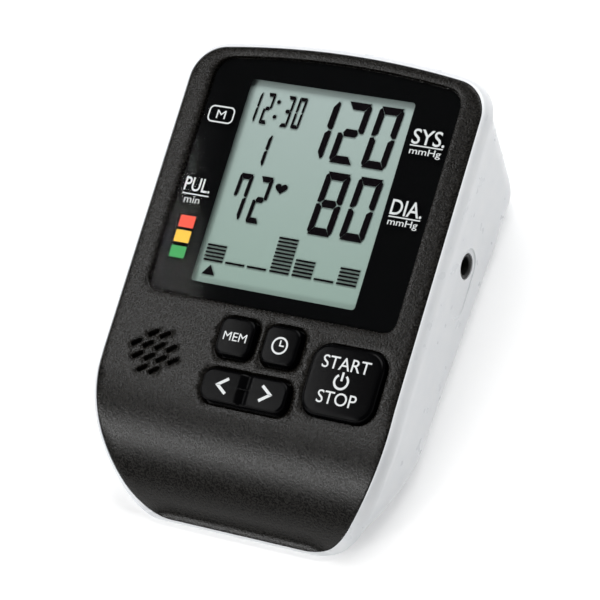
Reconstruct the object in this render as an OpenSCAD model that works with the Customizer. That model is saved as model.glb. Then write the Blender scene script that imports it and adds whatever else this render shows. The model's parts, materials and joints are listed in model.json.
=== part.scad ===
// Desktop blood pressure monitor: a wedge-shaped case with a tilted face. Millimetres, +Z up, front is -Y.
// The origin is on the surface it stands on, under the middle of the case.
// Parts of the face are drawn in a tilted frame: X to the right, Y up the face, Z out of the face.

/* [Case] */
// Tilt of the face above the table, degrees
face_tilt = 7.6; // [6:0.1:9]
// Height of the middle of the display above the table
face_z = 40.3; // [39.5:0.1:41]
// Place of the middle of the display behind the middle of the case
face_y = 28; // [27:0.1:29]
// Half the width of the case at its rim
case_half_w = 55.8; // [55.5:0.1:57]
// Half the width of the dark front panel
panel_half_w = 53.5; // [53:0.1:54]
// Rear edge of the case, up the face from the display's middle
case_rear = 50.2; // [50:0.1:52]
// Rear edge of the front panel
panel_rear = 47.6; // [47:0.1:48]
// Front edge of the front panel
panel_front = -109; // [-110:0.1:-108.5]
// White lip in front of the panel's front edge
lip = 0.9; // [0.7:0.1:1.2]
// Thickness of the front panel
panel_t = 2.4; // [2.2:0.1:2.6]
// Thickness of the case walls
wall_t = 2.2; // [2:0.1:2.4]
// Height of the case's underside above the table, which the feet make up
under_z = 1.3; // [1.2:0.1:1.6]

/* [Keys] */
// How far the keys stand above the panel
key_rise = 2; // [1.5:0.1:2.5]
// Travel of a push key
key_travel = 0.5; // [0.3:0.1:0.6]
// Gap between a key and its opening
key_gap = 0.4; // [0.3:0.05:0.5]
// Side of the two small square keys
small_key = 12.6; // [12:0.1:13]
// Width and height of the start key
start_size = [25.7, 23.2]; // [20:0.1:27]
// Width and height of the rocker key
rocker_size = [30.9, 10.6]; // [10:0.1:32]

/* [Display] */
// Half width and half height of the visible display
lcd_view = [30.2, 35.2]; // [29:0.1:36]
// Half width of the window
window_half_w = 45.4; // [44:0.1:46]
// Upper and lower edges of the window
window_edges = [44.3, -40.3]; // [-41:0.1:45]
// Thickness of the window
window_t = 1.4; // [1.2:0.1:1.5]

/* [Power and air] */
// Diameter of a battery cell
cell_d = 14.5; // [14:0.1:14.6]
// Radius of the hole in the air socket
air_r = 2.6; // [2.4:0.1:3]
// Radius of the mouth of the power socket
power_r = 3; // [2.9:0.05:3.2]

/* [Hidden] */
$fn = 64;
crown_r = 312;
case_rear_r = 14;
panel_rear_r = 12;
taper_start = -67;
taper_angle = 37.3;
taper_r = 54.8;
roll_start = -62.5;
roll_r = 54.2;
roll_angle = 61;
rear_lean = 22.6;
side_draft = 3;
low_corner_r = 7;
seat_depth = 3;
inner_z = under_z + wall_t;
lip_z = under_z + 0.6;
lip_h = 1.3;

board_top = -11;
board_t = 1.6;
board_box = [-42, 42, -80, 37];
board_screws = [[-39, 20], [39, 20], [-18, -76.5], [21, -76.5]];

mem_at = [-7, -51.2];
clock_at = [9.6, -51.2];
rocker_at = [1.5, -67.4];
start_at = [34.3, -58.8];
rocker_pivot_n = -5.2;
rocker_throw = 10;
flange = 1.2;
// The well in a key's switch ends 0.9 above the board, and a pressed plunger stays clear of it
switch_well = board_top + 0.92;
plunger_bottom = switch_well + key_travel + 0.38;

speaker_at = [-35.5, -60.6];
slot_size = [4.2, 1.4];
slot_slant = 35;
slot_pitch = 4.5;
// First slot of each row from the speaker's middle, and how many slots are in the row
slot_rows = [[-2, 6, 2], [-7.2, 2, 4], [-5.4, -2, 4], [-2.3, -6, 2]];

case_screws_at = [[-38, -62], [38, -62], [-46, 55], [47.5, 34]];
post_split = [10, 10, 20, 20];
screw_top = [16, 16, 27, 27];
screw_head_top = 4;

bay = [-48, 14, -20.5, 38.5];
bay_top = 19;
hinge_y = 37.9;
door_t = 2;
hinge_z = under_z + door_t / 2;
door_gap = 0.3;
latch_x = [-24, -10];
latch_y = -27;
cell_z = under_z + door_t + 0.3 + cell_d / 2;
cell_pitch = 15.2;
cell_x = [for (i = [0 : 3]) (bay[0] + bay[1]) / 2 + (i - 1.5) * cell_pitch];
contact_t = 0.4;
cell_body = 49.2;
cell_nub = 1.3;

jack_y = 20.6;
jack_z = 20.3;
jack_tip = 54;
jack_mouth = 3.2;
air_y = 45;
air_z = 21;
air_tip = -54.6;
air_mouth = 5;
port_r = 2.2;
port_bore = 1.2;
tube_r = 3.2;
tee_x = -22;

pump_y = 52.5;
pump_z = 17;
motor_r = 10;
shaft_r = 1;
orbit_r = 2.5;

function arc(cx, cy, r, a0, a1, n) =
    [for (i = [0 : n]) let (a = a0 + (a1 - a0) * i / n) [cx + r * cos(a), cy + r * sin(a)]];

function mirrored(points) = [for (i = [len(points) - 1 : -1 : 0]) [-points[i][0], points[i][1]]];

// Right half of the rear edge: a corner of radius r that runs into the crowned edge
function rear_points(w, rear, r) =
    let (
        cy = rear - crown_r,
        dx = w - r,
        dy = sqrt(pow(crown_r - r, 2) - dx * dx),
        a = atan2(dy, dx)
    )
    concat(arc(dx, cy + dy, r, 0, a, 8), arc(0, cy, crown_r, a, 90, 5));

// Right half of the front edge: a straight front, a corner and a long taper that runs into the side
function front_points(w, front) =
    let (
        r1 = taper_r + w - panel_half_w,
        x1 = w - r1 * (1 - cos(taper_angle)),
        y1 = taper_start - r1 * sin(taper_angle),
        r2 = (y1 - front) / (1 - sin(taper_angle))
    )
    concat(
        arc(x1 - r2 * cos(taper_angle), y1 + r2 * sin(taper_angle), r2, -90, -taper_angle, 7),
        arc(w - r1, taper_start, r1, -taper_angle, 0, 7)
    );

function outline(w, rear, front, r) =
    let (right = concat(front_points(w, front), rear_points(w, rear, r)))
    concat(right, mirrored(right));

module face() {
    translate([0, face_y, face_z]) rotate([face_tilt, 0, 0]) children();
}

module at(p, n) {
    translate([p[0], p[1], n]) children();
}

module along_x() {
    rotate([90, 0, 90]) linear_extrude(200, center = true) children();
}

// Turns a shape drawn along Z so that it runs along X
module to_x(x, y, z) {
    translate([x, y, z]) rotate([0, 90, 0]) children();
}

module rounded(size, r) {
    w = size[0] / 2 - r;
    h = size[1] / 2 - r;
    union() {
        square([size[0], size[1] - 2 * r], center = true);
        square([size[0] - 2 * r, size[1]], center = true);
        for (x = [-w, w], y = [-h, h]) translate([x, y]) circle(r);
    }
}

module ring(r_out, r_in, h) {
    difference() {
        cylinder(r = r_out, h = h);
        translate([0, 0, -1]) cylinder(r = r_in, h = h + 2);
    }
}

module box(x0, x1, y0, y1, z0, z1) {
    translate([x0, y0, z0]) cube([x1 - x0, y1 - y0, z1 - z0]);
}

// Everything under the face: flat at the display, then rolling down to the front lip
module below_face(inset) {
    r = roll_r - inset;
    a_end = roll_angle;
    end = [roll_start - r * sin(a_end), r * cos(a_end) - roll_r];
    run = 40 * [-cos(a_end), -sin(a_end)];
    along_x() polygon(concat(
        [[90, -inset], [90, -90], [-170, -90], end + run],
        [for (i = [12 : -1 : 0]) let (a = a_end * i / 12) [roll_start - r * sin(a), r * cos(a) - roll_r]]
    ));
}

// Solid of the case, shrunk by a wall thickness where t is not 0
module case_solid(t, floor_z) {
    low = -49;
    w = case_half_w - t;
    slope = tan(side_draft);
    r = low_corner_r - t / 2;
    foot_w = w - (face_z - floor_z) * slope;
    front = front_points(w, panel_front - lip + t);
    rear = rear_points(w, case_rear, case_rear_r - t);
    intersection() {
        face() translate([0, 0, -60]) linear_extrude(70)
            polygon(concat(front, [[w + 2, -50], [w + 2, 90], [-w - 2, 90], [-w - 2, -50]], mirrored(front)));
        face() rotate([-rear_lean, 0, 0]) translate([0, (cos(rear_lean) - 1) * case_rear - t, -80])
            linear_extrude(160) polygon(concat([[w, -300]], rear, mirrored(concat([[w, -300]], rear))));
        face() below_face(0);
        translate([0, 0, floor_z]) rotate([90, 0, 0]) linear_extrude(400, center = true) polygon(concat(
            arc(foot_w - r, r, r, -90, -side_draft, 6),
            [[foot_w + 60 * slope, 60]],
            [[-foot_w - 60 * slope, 60]],
            mirrored(arc(foot_w - r, r, r, -90, -side_draft, 6))
        ));
    }
}

module panel_seat(gap, low) {
    face() translate([0, 0, low]) linear_extrude(40 - low)
        polygon(outline(panel_half_w + gap, panel_rear + gap, panel_front - gap, panel_rear_r));
}

module window_outline(grow) {
    w = window_half_w + grow;
    top = window_edges[0] + grow;
    low = window_edges[1] - grow;
    r_top = 7;
    r_low = 4;
    cy = top - crown_r;
    dy = sqrt(pow(crown_r - r_top, 2) - pow(w - r_top, 2));
    a = atan2(dy, w - r_top);
    right = concat(
        arc(w - r_low, low + r_low, r_low, -90, 0, 6),
        arc(w - r_top, cy + dy, r_top, 0, a, 7),
        arc(0, cy, crown_r, a, 90, 5)
    );
    polygon(concat(right, mirrored(right)));
}

module key_opening(p, size, r) {
    at(p, -20) linear_extrude(40) rounded(size + 2 * key_gap * [1, 1], r + key_gap);
}

module speaker_slots() {
    for (row = slot_rows, i = [0 : row[2] - 1])
        at(speaker_at + [row[0] + i * slot_pitch, row[1]], -10) rotate(slot_slant) linear_extrude(20) union() {
            square([slot_size[0] - slot_size[1], slot_size[1]], center = true);
            for (s = [-1, 1]) translate([s * (slot_size[0] - slot_size[1]) / 2, 0]) circle(slot_size[1] / 2);
        }
}

module front_panel() {
    color("#3b3b3b") difference() {
        union() {
            intersection() {
                panel_seat(0, -60);
                difference() {
                    face() below_face(0);
                    face() below_face(panel_t);
                }
                box(-100, 100, -200, 200, lip_z + 0.1, 100);
            }
            intersection() {
                face() below_face(panel_t - 0.2);
                union() {
                    for (i = [0 : 3]) translate([case_screws_at[i][0], case_screws_at[i][1], post_split[i]])
                        cylinder(r = 3, h = 60);
                    face() for (p = board_screws) at(p, board_top + 0.05) cylinder(r = 2.6, h = 20);
                    face() at(speaker_at, -7) ring(11.3, 10.3, 7);
                    face() for (s = [-1, 1]) at(rocker_at + [0, s * (rocker_size[1] / 2 + 2.6)], -7)
                        translate([-2.5, -0.9, 0]) cube([5, 1.8, 7]);
                }
            }
        }
        face() translate([0, 0, -window_t - 0.3]) linear_extrude(5) window_outline(0.1);
        face() translate([0, 0, -10]) linear_extrude(20) rounded(2 * lcd_view + [4, 4], 1.5);
        face() key_opening(mem_at, [small_key, small_key], 3);
        face() key_opening(clock_at, [small_key, small_key], 3);
        face() key_opening(start_at, start_size, 6);
        face() key_opening(rocker_at, rocker_size, 3.6);
        face() speaker_slots();
        for (i = [0 : 3]) translate([case_screws_at[i][0], case_screws_at[i][1], 0])
            cylinder(r = 1.28, h = screw_top[i] + 0.8);
        face() for (p = board_screws) at(p, board_top - 1) cylinder(r = 1.03, h = 5.2);
        face() translate([rocker_at[0], rocker_at[1], rocker_pivot_n]) rotate([90, 0, 0])
            cylinder(r = 1.06, h = 30, center = true);
    }
}

module bay_walls() {
    t = 1.4;
    box(bay[0] - t, bay[1] + t, bay[2] - t, bay[3] + t, under_z + 0.5, bay_top + t);
    box(latch_x[0] - 1.5, latch_x[1] + 1.5, latch_y - 1.5, bay[2], under_z + 0.5, 10);
}

module lower_shell() {
    color("#eeeeee") difference() {
        union() {
            difference() {
                case_solid(0, under_z);
                intersection() {
                    case_solid(wall_t, inner_z);
                    face() translate([-100, -200, -90]) cube([200, 400, 90 - seat_depth + 0.5]);
                }
                intersection() {
                    panel_seat(0.1, -seat_depth);
                    box(-100, 100, -200, 200, lip_z, 100);
                }
                intersection() {
                    panel_seat(0.1, -60);
                    box(-100, 100, -200, -40, lip_z, 100);
                    difference() {
                        face() below_face(-1);
                        face() below_face(panel_t + 0.1);
                    }
                }
            }
            front_lip();
            intersection() {
                case_solid(0.5, under_z);
                union() {
                    bay_walls();
                    for (i = [0 : 3]) translate([case_screws_at[i][0], case_screws_at[i][1], under_z])
                        cylinder(r = 3.6, h = post_split[i] - under_z - 0.1);
                    box(42, 50, jack_y - 3, jack_y + 3, under_z + 0.5, jack_z - 4.6);
                    for (x = [21, 36]) box(x, x + 3, pump_y - 7, pump_y + 7, under_z + 0.5, pump_z - 5);
                    box(-30, -26, air_y - 4, air_y + 4, under_z + 0.5, 4.25);
                }
            }
        }
        box(bay[0], bay[1], bay[2], bay[3], -1, bay_top);
        box(bay[0], bay[1], bay[2] - 1.8, bay[3] + 0.7, -1, under_z + door_t + 0.2);
        box(latch_x[0] - door_gap, latch_x[1] + door_gap, latch_y - door_gap, bay[2] - 1, -1, 8.5);
        to_x(bay[0] - 1.8, hinge_y, hinge_z) cylinder(r = 0.66, h = bay[1] - bay[0] + 3.6);
        for (p = case_screws_at) translate([p[0], p[1], -1]) {
            cylinder(r = 1.6, h = 40);
            cylinder(r = 2.8, h = under_z + screw_head_top + 1.05);
        }
        for (p = feet_at()) translate([p[0], p[1], 0]) cylinder(r = 4.55, h = under_z + 0.8);
        to_x(50, jack_y, jack_z) cylinder(r = 4.3, h = 10);
        to_x(-60, air_y, air_z) cylinder(r = 5.2, h = 10);
        to_x(15, pump_y, pump_z) cylinder(r = motor_r + 0.05, h = 30);
        power_recess();
    }
}

// Thin edge of the shell that stands out under the panel's front edge
module front_lip() {
    difference() {
        intersection() {
            face() translate([0, 0, -60]) linear_extrude(61)
                polygon(outline(case_half_w, 90, panel_front - lip, 5));
            box(-50, 50, -90, -62, under_z, under_z + lip_h);
        }
        box(-60, 60, -90, -50, lip_z, 10);
    }
    intersection() {
        difference() {
            face() translate([0, 0, -60]) linear_extrude(61)
                polygon(outline(case_half_w, 90, panel_front - lip, 5));
            panel_seat(0.1, -60);
        }
        box(-50, 50, -90, -74, under_z, under_z + lip_h);
    }
}

// Shallow stadium around the power socket's hole
module power_recess() {
    depth = 0.6;
    x = 54.8 - depth;
    hull() {
        to_x(x, jack_y, jack_z) cylinder(r = 6, h = 6, $fn = 32);
        to_x(x, jack_y - 11.5, jack_z - 1.5) cylinder(r = 6, h = 6, $fn = 32);
    }
}

function feet_at() = [[-34, -76 + 8], [34, -76 + 8], [-30, 58], [30, 58]];

module rubber_feet() {
    color("#2a2a2a") for (p = feet_at()) translate([p[0], p[1], 0]) cylinder(r = 4.5, h = under_z + 0.75);
}

module battery_door() {
    color("#eeeeee") difference() {
        union() {
            box(bay[0] + door_gap, bay[1] - door_gap, bay[2] - 1.5, hinge_y, under_z, under_z + door_t);
            to_x(bay[0] + door_gap, hinge_y, hinge_z)
                cylinder(r = door_t / 2, h = bay[1] - bay[0] - 2 * door_gap);
            to_x(bay[0] - 1.5, hinge_y, hinge_z) cylinder(r = 0.6, h = bay[1] - bay[0] + 3);
            box(latch_x[0], latch_x[1], latch_y, bay[2], under_z, under_z + door_t);
            box(latch_x[0], latch_x[1], latch_y, latch_y + 1.2, under_z, under_z + 4.8);
        }
        for (i = [0 : 4]) box(latch_x[0] + 2, latch_x[1] - 2, -24 + i * 1.6, -23.2 + i * 1.6, under_z - 1, under_z + 0.4);
    }
}

module case_screws() {
    head_h = 1.9;
    color("#9a9a9a") for (i = [0 : 3]) translate([case_screws_at[i][0], case_screws_at[i][1], 0]) {
        difference() {
            translate([0, 0, under_z + screw_head_top - head_h]) cylinder(r = 2.5, h = head_h);
            for (a = [0, 90]) translate([0, 0, under_z + screw_head_top - head_h]) rotate(a)
                cube([3, 0.7, 1.8], center = true);
        }
        translate([0, 0, under_z + screw_head_top - 0.1])
            cylinder(r = 1.25, h = screw_top[i] - under_z - screw_head_top + 0.1);
    }
}

module window_lens() {
    color([0.05, 0.05, 0.06, 0.6]) face() translate([0, 0, -window_t]) linear_extrude(window_t) window_outline(0);
}

module lens_tape() {
    color("#111111") face() translate([0, 0, -window_t - 0.28]) linear_extrude(0.26) difference() {
        window_outline(-0.6);
        rounded(2 * lcd_view + [7, 7], 1.5);
    }
}

module lcd_cell() {
    color([0.62, 0.7, 0.66, 0.8]) face() translate([-33, -38, -4.5]) cube([66, 76, 1.8]);
}

module lcd_reflector() {
    color("#9fb3a9") face() translate([-32, -34.5, -4.8]) cube([64, 69, 0.28]);
}

module lcd_holder() {
    color("#e8e8e4") face() difference() {
        translate([-35.2, -41, board_top + 0.03]) cube([70.4, 82, -2.6 - board_top - 0.03]);
        translate([-33.1, -38.1, -4.85]) cube([66.2, 76.2, 10]);
        translate([-30, -33, board_top - 1]) cube([60, 66, 1 + 4.4]);
        for (s = [-1, 1]) translate([-28.5, s * 36.4 - 1.3, board_top - 1]) cube([57, 2.6, 20]);
    }
}

module contact_strips() {
    color("#555a60") face() for (s = [-1, 1])
        translate([-28, s * 36.4 - 1.1, board_top + 0.02]) cube([56, 2.2, -4.52 - board_top - 0.02]);
}

// A push key: a cap, a flange under the panel that keeps it in, and a stem to its switch
module push_key(p, size, r, low) {
    color("#101112") face() at(p, 0) {
        translate([0, 0, low]) linear_extrude(key_rise - low) rounded(size, r);
        translate([0, 0, low]) linear_extrude(1.3) rounded(size + 2 * flange * [1, 1], r);
        translate([0, 0, -7]) cylinder(r = 2.4, h = 4);
    }
}

module start_key() { push_key(start_at, start_size, 6, -4.7); }

module mem_key() { push_key(mem_at, [small_key, small_key], 3, -3.8); }

module clock_key() { push_key(clock_at, [small_key, small_key], 3, -3.8); }

module rocker_key() {
    pin_l = rocker_size[1] + 7;
    color("#101112") face() at(rocker_at, 0) {
        difference() {
            translate([0, 0, -5]) linear_extrude(5 + key_rise - 0.2) rounded(rocker_size, 3.6);
            translate([0, 0, key_rise + 1]) cube([3.8, 20, 3.4], center = true);
        }
        translate([0, 0, rocker_pivot_n]) rotate([90, 0, 0]) cylinder(r = 1, h = pin_l, center = true);
        for (s = [-1, 1]) translate([s * rocker_throw, 0, -6.9]) cylinder(r = 2.2, h = 3);
    }
}

module switch_at(p) {
    at(p, board_top + 0.02) difference() {
        translate([-3, -3, 0]) cube([6, 6, 3.4]);
        translate([0, 0, 0.9]) cylinder(r = 2, h = 10);
    }
}

module plunger_at(p, tip) {
    at(p, plunger_bottom) cylinder(r = 1.7, h = tip - plunger_bottom);
}

module start_switch() { color("#222222") face() switch_at(start_at); }

module mem_switch() { color("#222222") face() switch_at(mem_at); }

module clock_switch() { color("#222222") face() switch_at(clock_at); }

module rocker_switches() {
    color("#222222") face() for (s = [-1, 1]) switch_at(rocker_at + [s * rocker_throw, 0]);
}

module start_plunger() { color("#c8b890") face() plunger_at(start_at, -7); }

module mem_plunger() { color("#c8b890") face() plunger_at(mem_at, -7); }

module clock_plunger() { color("#c8b890") face() plunger_at(clock_at, -7); }

module rocker_plungers() {
    color("#c8b890") face() for (s = [-1, 1]) plunger_at(rocker_at + [s * rocker_throw, 0], -6.9);
}

module main_board() {
    w = board_box[1] - board_box[0];
    h = board_box[3] - board_box[2];
    color("#1f5c3a") face() difference() {
        translate([0, (board_box[2] + board_box[3]) / 2, board_top - board_t])
            linear_extrude(board_t) rounded([w, h], 3);
        for (p = board_screws) at(p, board_top - 5) cylinder(r = 1.3, h = 10);
    }
}

module processor_chip() {
    color("#151515") face() translate([-12, -6, board_top - board_t - 1.52]) cube([14, 14, 1.5]);
}

module capacitors() {
    color("#3a4a70") face() for (p = [[24, -20], [31, -20], [24, -34]])
        at(p, board_top - board_t - 6.02) cylinder(r = 2.5, h = 6);
}

module board_screws() {
    color("#b0b0b0") face() for (p = board_screws) {
        at(p, board_top - board_t - 1.4) cylinder(r = 2, h = 1.38);
        at(p, board_top - board_t - 0.1) cylinder(r = 1, h = 5);
    }
}

module speaker_frame() {
    color("#8d9094") face() at(speaker_at, -0.9) rotate_extrude() polygon([
        [8.6, -2.7], [10, -2.7], [10, -3.5], [6.6, -5.2], [6.6, -5.7], [2.2, -5.7], [2.2, -5.2], [6, -5.2], [8.6, -3.9]
    ]);
}

module speaker_cone() {
    color("#26211d") face() at(speaker_at, -0.9) rotate_extrude() polygon([
        [0, -3.3], [2.6, -4.2], [3, -4.8], [8.4, -3.5], [8.5, -3.7], [3, -5.05], [2.4, -4.5], [0, -3.6]
    ]);
}

module speaker_magnet() {
    color("#6f7276") face() at(speaker_at, -9.1) cylinder(r = 5.5, h = 2.48);
}

// A cell along Y: d is 1 where its nub points back and -1 where it points forward
module cell(i) {
    d = i % 2 == 0 ? 1 : -1;
    tip = d > 0 ? bay[3] - contact_t - 0.02 : bay[2] + contact_t + 0.02;
    color("#c9c4a8") translate([cell_x[i], tip, cell_z]) rotate([d * 90, 0, 0]) {
        cylinder(r = 2.7, h = cell_nub + 0.1);
        translate([0, 0, cell_nub]) cylinder(d = cell_d, h = cell_body);
    }
}

module cell_1() { cell(0); }

module cell_2() { cell(1); }

module cell_3() { cell(2); }

module cell_4() { cell(3); }

module battery_springs() {
    room = bay[3] - bay[2] - 2 * contact_t - cell_body - cell_nub - 0.06;
    color("#c9cdd2") for (i = [0 : 3]) {
        d = i % 2 == 0 ? 1 : -1;
        root_y = d > 0 ? bay[2] + contact_t + 0.02 : bay[3] - contact_t - 0.02;
        translate([cell_x[i], root_y, cell_z]) rotate([d * -90, 0, 0]) rotate_extrude()
            polygon([[3.8, 0], [4.6, 0], [3, room - 0.04], [2.2, room - 0.04]]);
    }
}

module battery_plates() {
    color("#c9cdd2") for (i = [0 : 3], y = [bay[2] + 0.01, bay[3] - contact_t + 0.01])
        box(cell_x[i] - 6, cell_x[i] + 6, y, y + contact_t - 0.02, cell_z - 6, cell_z + 6);
}

module power_socket() {
    color("#1a1a1a") difference() {
        union() {
            box(40, 51.8, jack_y - 4.5, jack_y + 4.5, jack_z - 4.5, jack_z + 4.5);
            to_x(51.5, jack_y, jack_z) cylinder(r = 4.15, h = jack_tip - 51.5);
        }
        to_x(42, jack_y, jack_z) cylinder(r = power_r - 0.2, h = 20);
        to_x(jack_tip - jack_mouth, jack_y, jack_z) cylinder(r = power_r, h = 20);
        to_x(39, jack_y, jack_z) cylinder(r = 0.95, h = 5);
    }
}

module power_pin() {
    color("#c8ccd0") {
        to_x(38.5, jack_y, jack_z) cylinder(r = 0.9, h = 4);
        to_x(42.1, jack_y, jack_z) cylinder(r = 1, h = jack_tip - jack_mouth - 42.4);
    }
}

module air_socket() {
    depth = 12;
    color("#d8dbde") difference() {
        union() {
            to_x(air_tip, air_y, air_z) cylinder(r = 5, h = depth + 1.5);
            to_x(-51.8, air_y, air_z) cylinder(r = 6.5, h = 1.6);
            to_x(air_tip + depth, air_y, air_z) cylinder(r = port_r, h = 7);
        }
        to_x(air_tip - 1, air_y, air_z) cylinder(r = air_r, h = air_mouth + 1);
        to_x(air_tip, air_y, air_z) cylinder(r = air_r - 0.2, h = depth);
        to_x(air_tip, air_y, air_z) cylinder(r = port_bore, h = depth + 10);
    }
}

module air_tee() {
    color("#e3e3e0") difference() {
        union() {
            box(tee_x - 4.5, tee_x + 4.5, air_y - 3.5, air_y + 3.5, air_z - 3, air_z + 3);
            to_x(tee_x - 10.5, air_y, air_z) cylinder(r = port_r, h = 21);
            translate([tee_x, air_y, air_z - 6]) cylinder(r = port_r, h = 6);
            translate([tee_x, air_y, air_z]) rotate([-90, 0, 0]) cylinder(r = port_r, h = 8.5);
        }
        to_x(tee_x - 11, air_y, air_z) cylinder(r = port_bore, h = 22);
        translate([tee_x, air_y, air_z - 7]) cylinder(r = port_bore, h = 7);
        translate([tee_x, air_y, air_z]) rotate([-90, 0, 0]) cylinder(r = port_bore, h = 10);
    }
}

module tube_x(x0, x1) {
    color("#e9e4d8") to_x(x0, air_y, air_z) ring(tube_r, port_r + 0.02, x1 - x0);
}

module socket_tube() { tube_x(-41, tee_x - 4.55); }

module pump_tube() { tube_x(tee_x + 4.55, -1.05); }

module valve_tube() {
    color("#e9e4d8") translate([tee_x, air_y, 11.25]) ring(tube_r, port_r + 0.02, air_z - 3.05 - 11.25);
}

// From the tee's rear port, round a bend and up to the sensor
module sensor_tube() {
    bend = 5.5;
    color("#e9e4d8") {
        translate([tee_x, air_y + 3.55, air_z]) rotate([-90, 0, 0]) ring(tube_r, port_r + 0.02, 5);
        translate([tee_x, air_y + 8.55, air_z + bend]) rotate([0, 90, 0])
            rotate_extrude(angle = 90) translate([bend, 0]) difference() {
                circle(tube_r);
                circle(port_r + 0.02);
            }
    }
}

module pressure_sensor() {
    color("#d9d9d4") face() {
        translate([tee_x - 5, 25, board_top - board_t - 4.02]) cube([10, 9, 4]);
        at([tee_x, 29], board_top - board_t - 6.6) cylinder(r = 1.3, h = 2.6);
    }
}

module motor_can() {
    color("#b9bdc2") to_x(17.05, pump_y, pump_z) difference() {
        cylinder(r = motor_r, h = 24);
        translate([0, 0, 1.2]) cylinder(r = motor_r - 0.8, h = 30);
        translate([0, 0, -1]) cylinder(r = shaft_r + 0.03, h = 5);
    }
}

module motor_end_cap() {
    color("#2b2b2b") to_x(41.1, pump_y, pump_z) difference() {
        cylinder(r = motor_r, h = 2.2);
        translate([0, 0, -1]) cylinder(r = shaft_r + 0.03, h = 3);
    }
}

module motor_magnets() {
    color("#4a4d50") to_x(21, pump_y, pump_z) difference() {
        ring(motor_r - 0.82, 7.6, 16);
        translate([-3, -20, -1]) cube([6, 40, 20]);
    }
}

module motor_armature() {
    color("#b87333") to_x(22, pump_y, pump_z) {
        ring(2.5, shaft_r + 0.01, 18);
        difference() {
            ring(7, 2.49, 14);
            for (a = [0, 120, 240]) rotate(a) translate([4, -0.8, -1]) cube([10, 1.6, 20]);
        }
    }
}

module motor_shaft() {
    color("#d0d4d8") to_x(11, pump_y, pump_z) cylinder(r = shaft_r, h = 31.6);
}

module pump_crank() {
    color("#e6e1d0") {
        to_x(11, pump_y, pump_z) ring(5, shaft_r + 0.01, 3.5);
        to_x(8, pump_y + orbit_r, pump_z) cylinder(r = 0.8, h = 3.01);
        to_x(10.2, pump_y, pump_z) cylinder(r = 5, h = 0.79);
    }
}

module pump_housing() {
    color("#d5d2c8") to_x(7.05, pump_y, pump_z) difference() {
        cylinder(r = 11.5, h = 9.95);
        translate([0, 0, -1]) cylinder(r = 10.3, h = 9.7);
        translate([0, 0, -1]) cylinder(r = 3, h = 20);
    }
}

module wobble_plate() {
    color("#c7bfa6") to_x(7.1, pump_y, pump_z) ring(9.8, 3.6, 1.3);
}

module pump_head() {
    color("#d5d2c8") difference() {
        union() {
            to_x(-1, pump_y, pump_z) cylinder(r = 11.5, h = 8);
            to_x(-7, air_y, air_z) cylinder(r = port_r, h = 7);
        }
        to_x(-8, air_y, air_z) cylinder(r = port_bore, h = 12);
        for (a = [60, 180, 300]) to_x(3, pump_y, pump_z) rotate(a) translate([6, 0, 0]) cylinder(r = 2.6, h = 10);
    }
}

module valve_body() {
    color("#e0dfda") difference() {
        union() {
            box(tee_x - 4, tee_x + 4, air_y - 4.5, air_y + 4.5, 4.3, 11.2);
            translate([tee_x, air_y, 11]) cylinder(r = port_r, h = 3.4);
        }
        translate([tee_x, air_y, 8]) cylinder(r = port_bore, h = 10);
        to_x(tee_x - 5, air_y, 7.75) cylinder(r = 2.2, h = 6);
    }
}

module valve_yoke() {
    color("#a9adb2") difference() {
        box(tee_x - 18, tee_x - 4.05, air_y - 5, air_y + 5, 4.3, 11.2);
        box(tee_x - 16.8, tee_x - 5.2, air_y - 8, air_y + 8, 4.9, 10.6);
        to_x(tee_x - 19, air_y, 7.75) cylinder(r = 1.5, h = 20);
    }
}

module valve_coil() {
    color("#a5562d") to_x(tee_x - 16.7, air_y, 7.75) ring(2.8, 1.5, 11.4);
}

module valve_plunger() {
    color("#cfd3d7") {
        to_x(tee_x - 15, air_y, 7.75) cylinder(r = 1.4, h = 13);
        to_x(tee_x - 2.5, air_y, 7.75) cylinder(r = 1.9, h = 1.5);
    }
}

front_panel();
lower_shell();
battery_door();
rubber_feet();
case_screws();
window_lens();
lens_tape();
lcd_cell();
lcd_reflector();
lcd_holder();
contact_strips();
start_key();
mem_key();
clock_key();
rocker_key();
start_switch();
mem_switch();
clock_switch();
rocker_switches();
start_plunger();
mem_plunger();
clock_plunger();
rocker_plungers();
main_board();
processor_chip();
capacitors();
board_screws();
speaker_frame();
speaker_cone();
speaker_magnet();
cell_1();
cell_2();
cell_3();
cell_4();
battery_springs();
battery_plates();
power_socket();
power_pin();
air_socket();
air_tee();
socket_tube();
pump_tube();
valve_tube();
sensor_tube();
pressure_sensor();
motor_can();
motor_end_cap();
motor_magnets();
motor_armature();
motor_shaft();
pump_crank();
pump_housing();
wobble_plate();
pump_head();
valve_body();
valve_yoke();
valve_coil();
valve_plunger();
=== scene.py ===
# %% [markdown]
# # A desktop blood pressure monitor
# The real thing is a white tub with a dark textured lid. The lid holds a black window over a
# grey-green display, four push keys and a speaker grille. It lies on a table with its face tilted.
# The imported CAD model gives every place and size. Blender gives the rounded skins, the printed
# marks and the finishes. Lengths below are in millimetres and become metres at the last step.

# %% Load the frame and read the driving sizes from it
import json
import math

import bmesh
import bpy
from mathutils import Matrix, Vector
from mathutils.geometry import delaunay_2d_cdt


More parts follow.
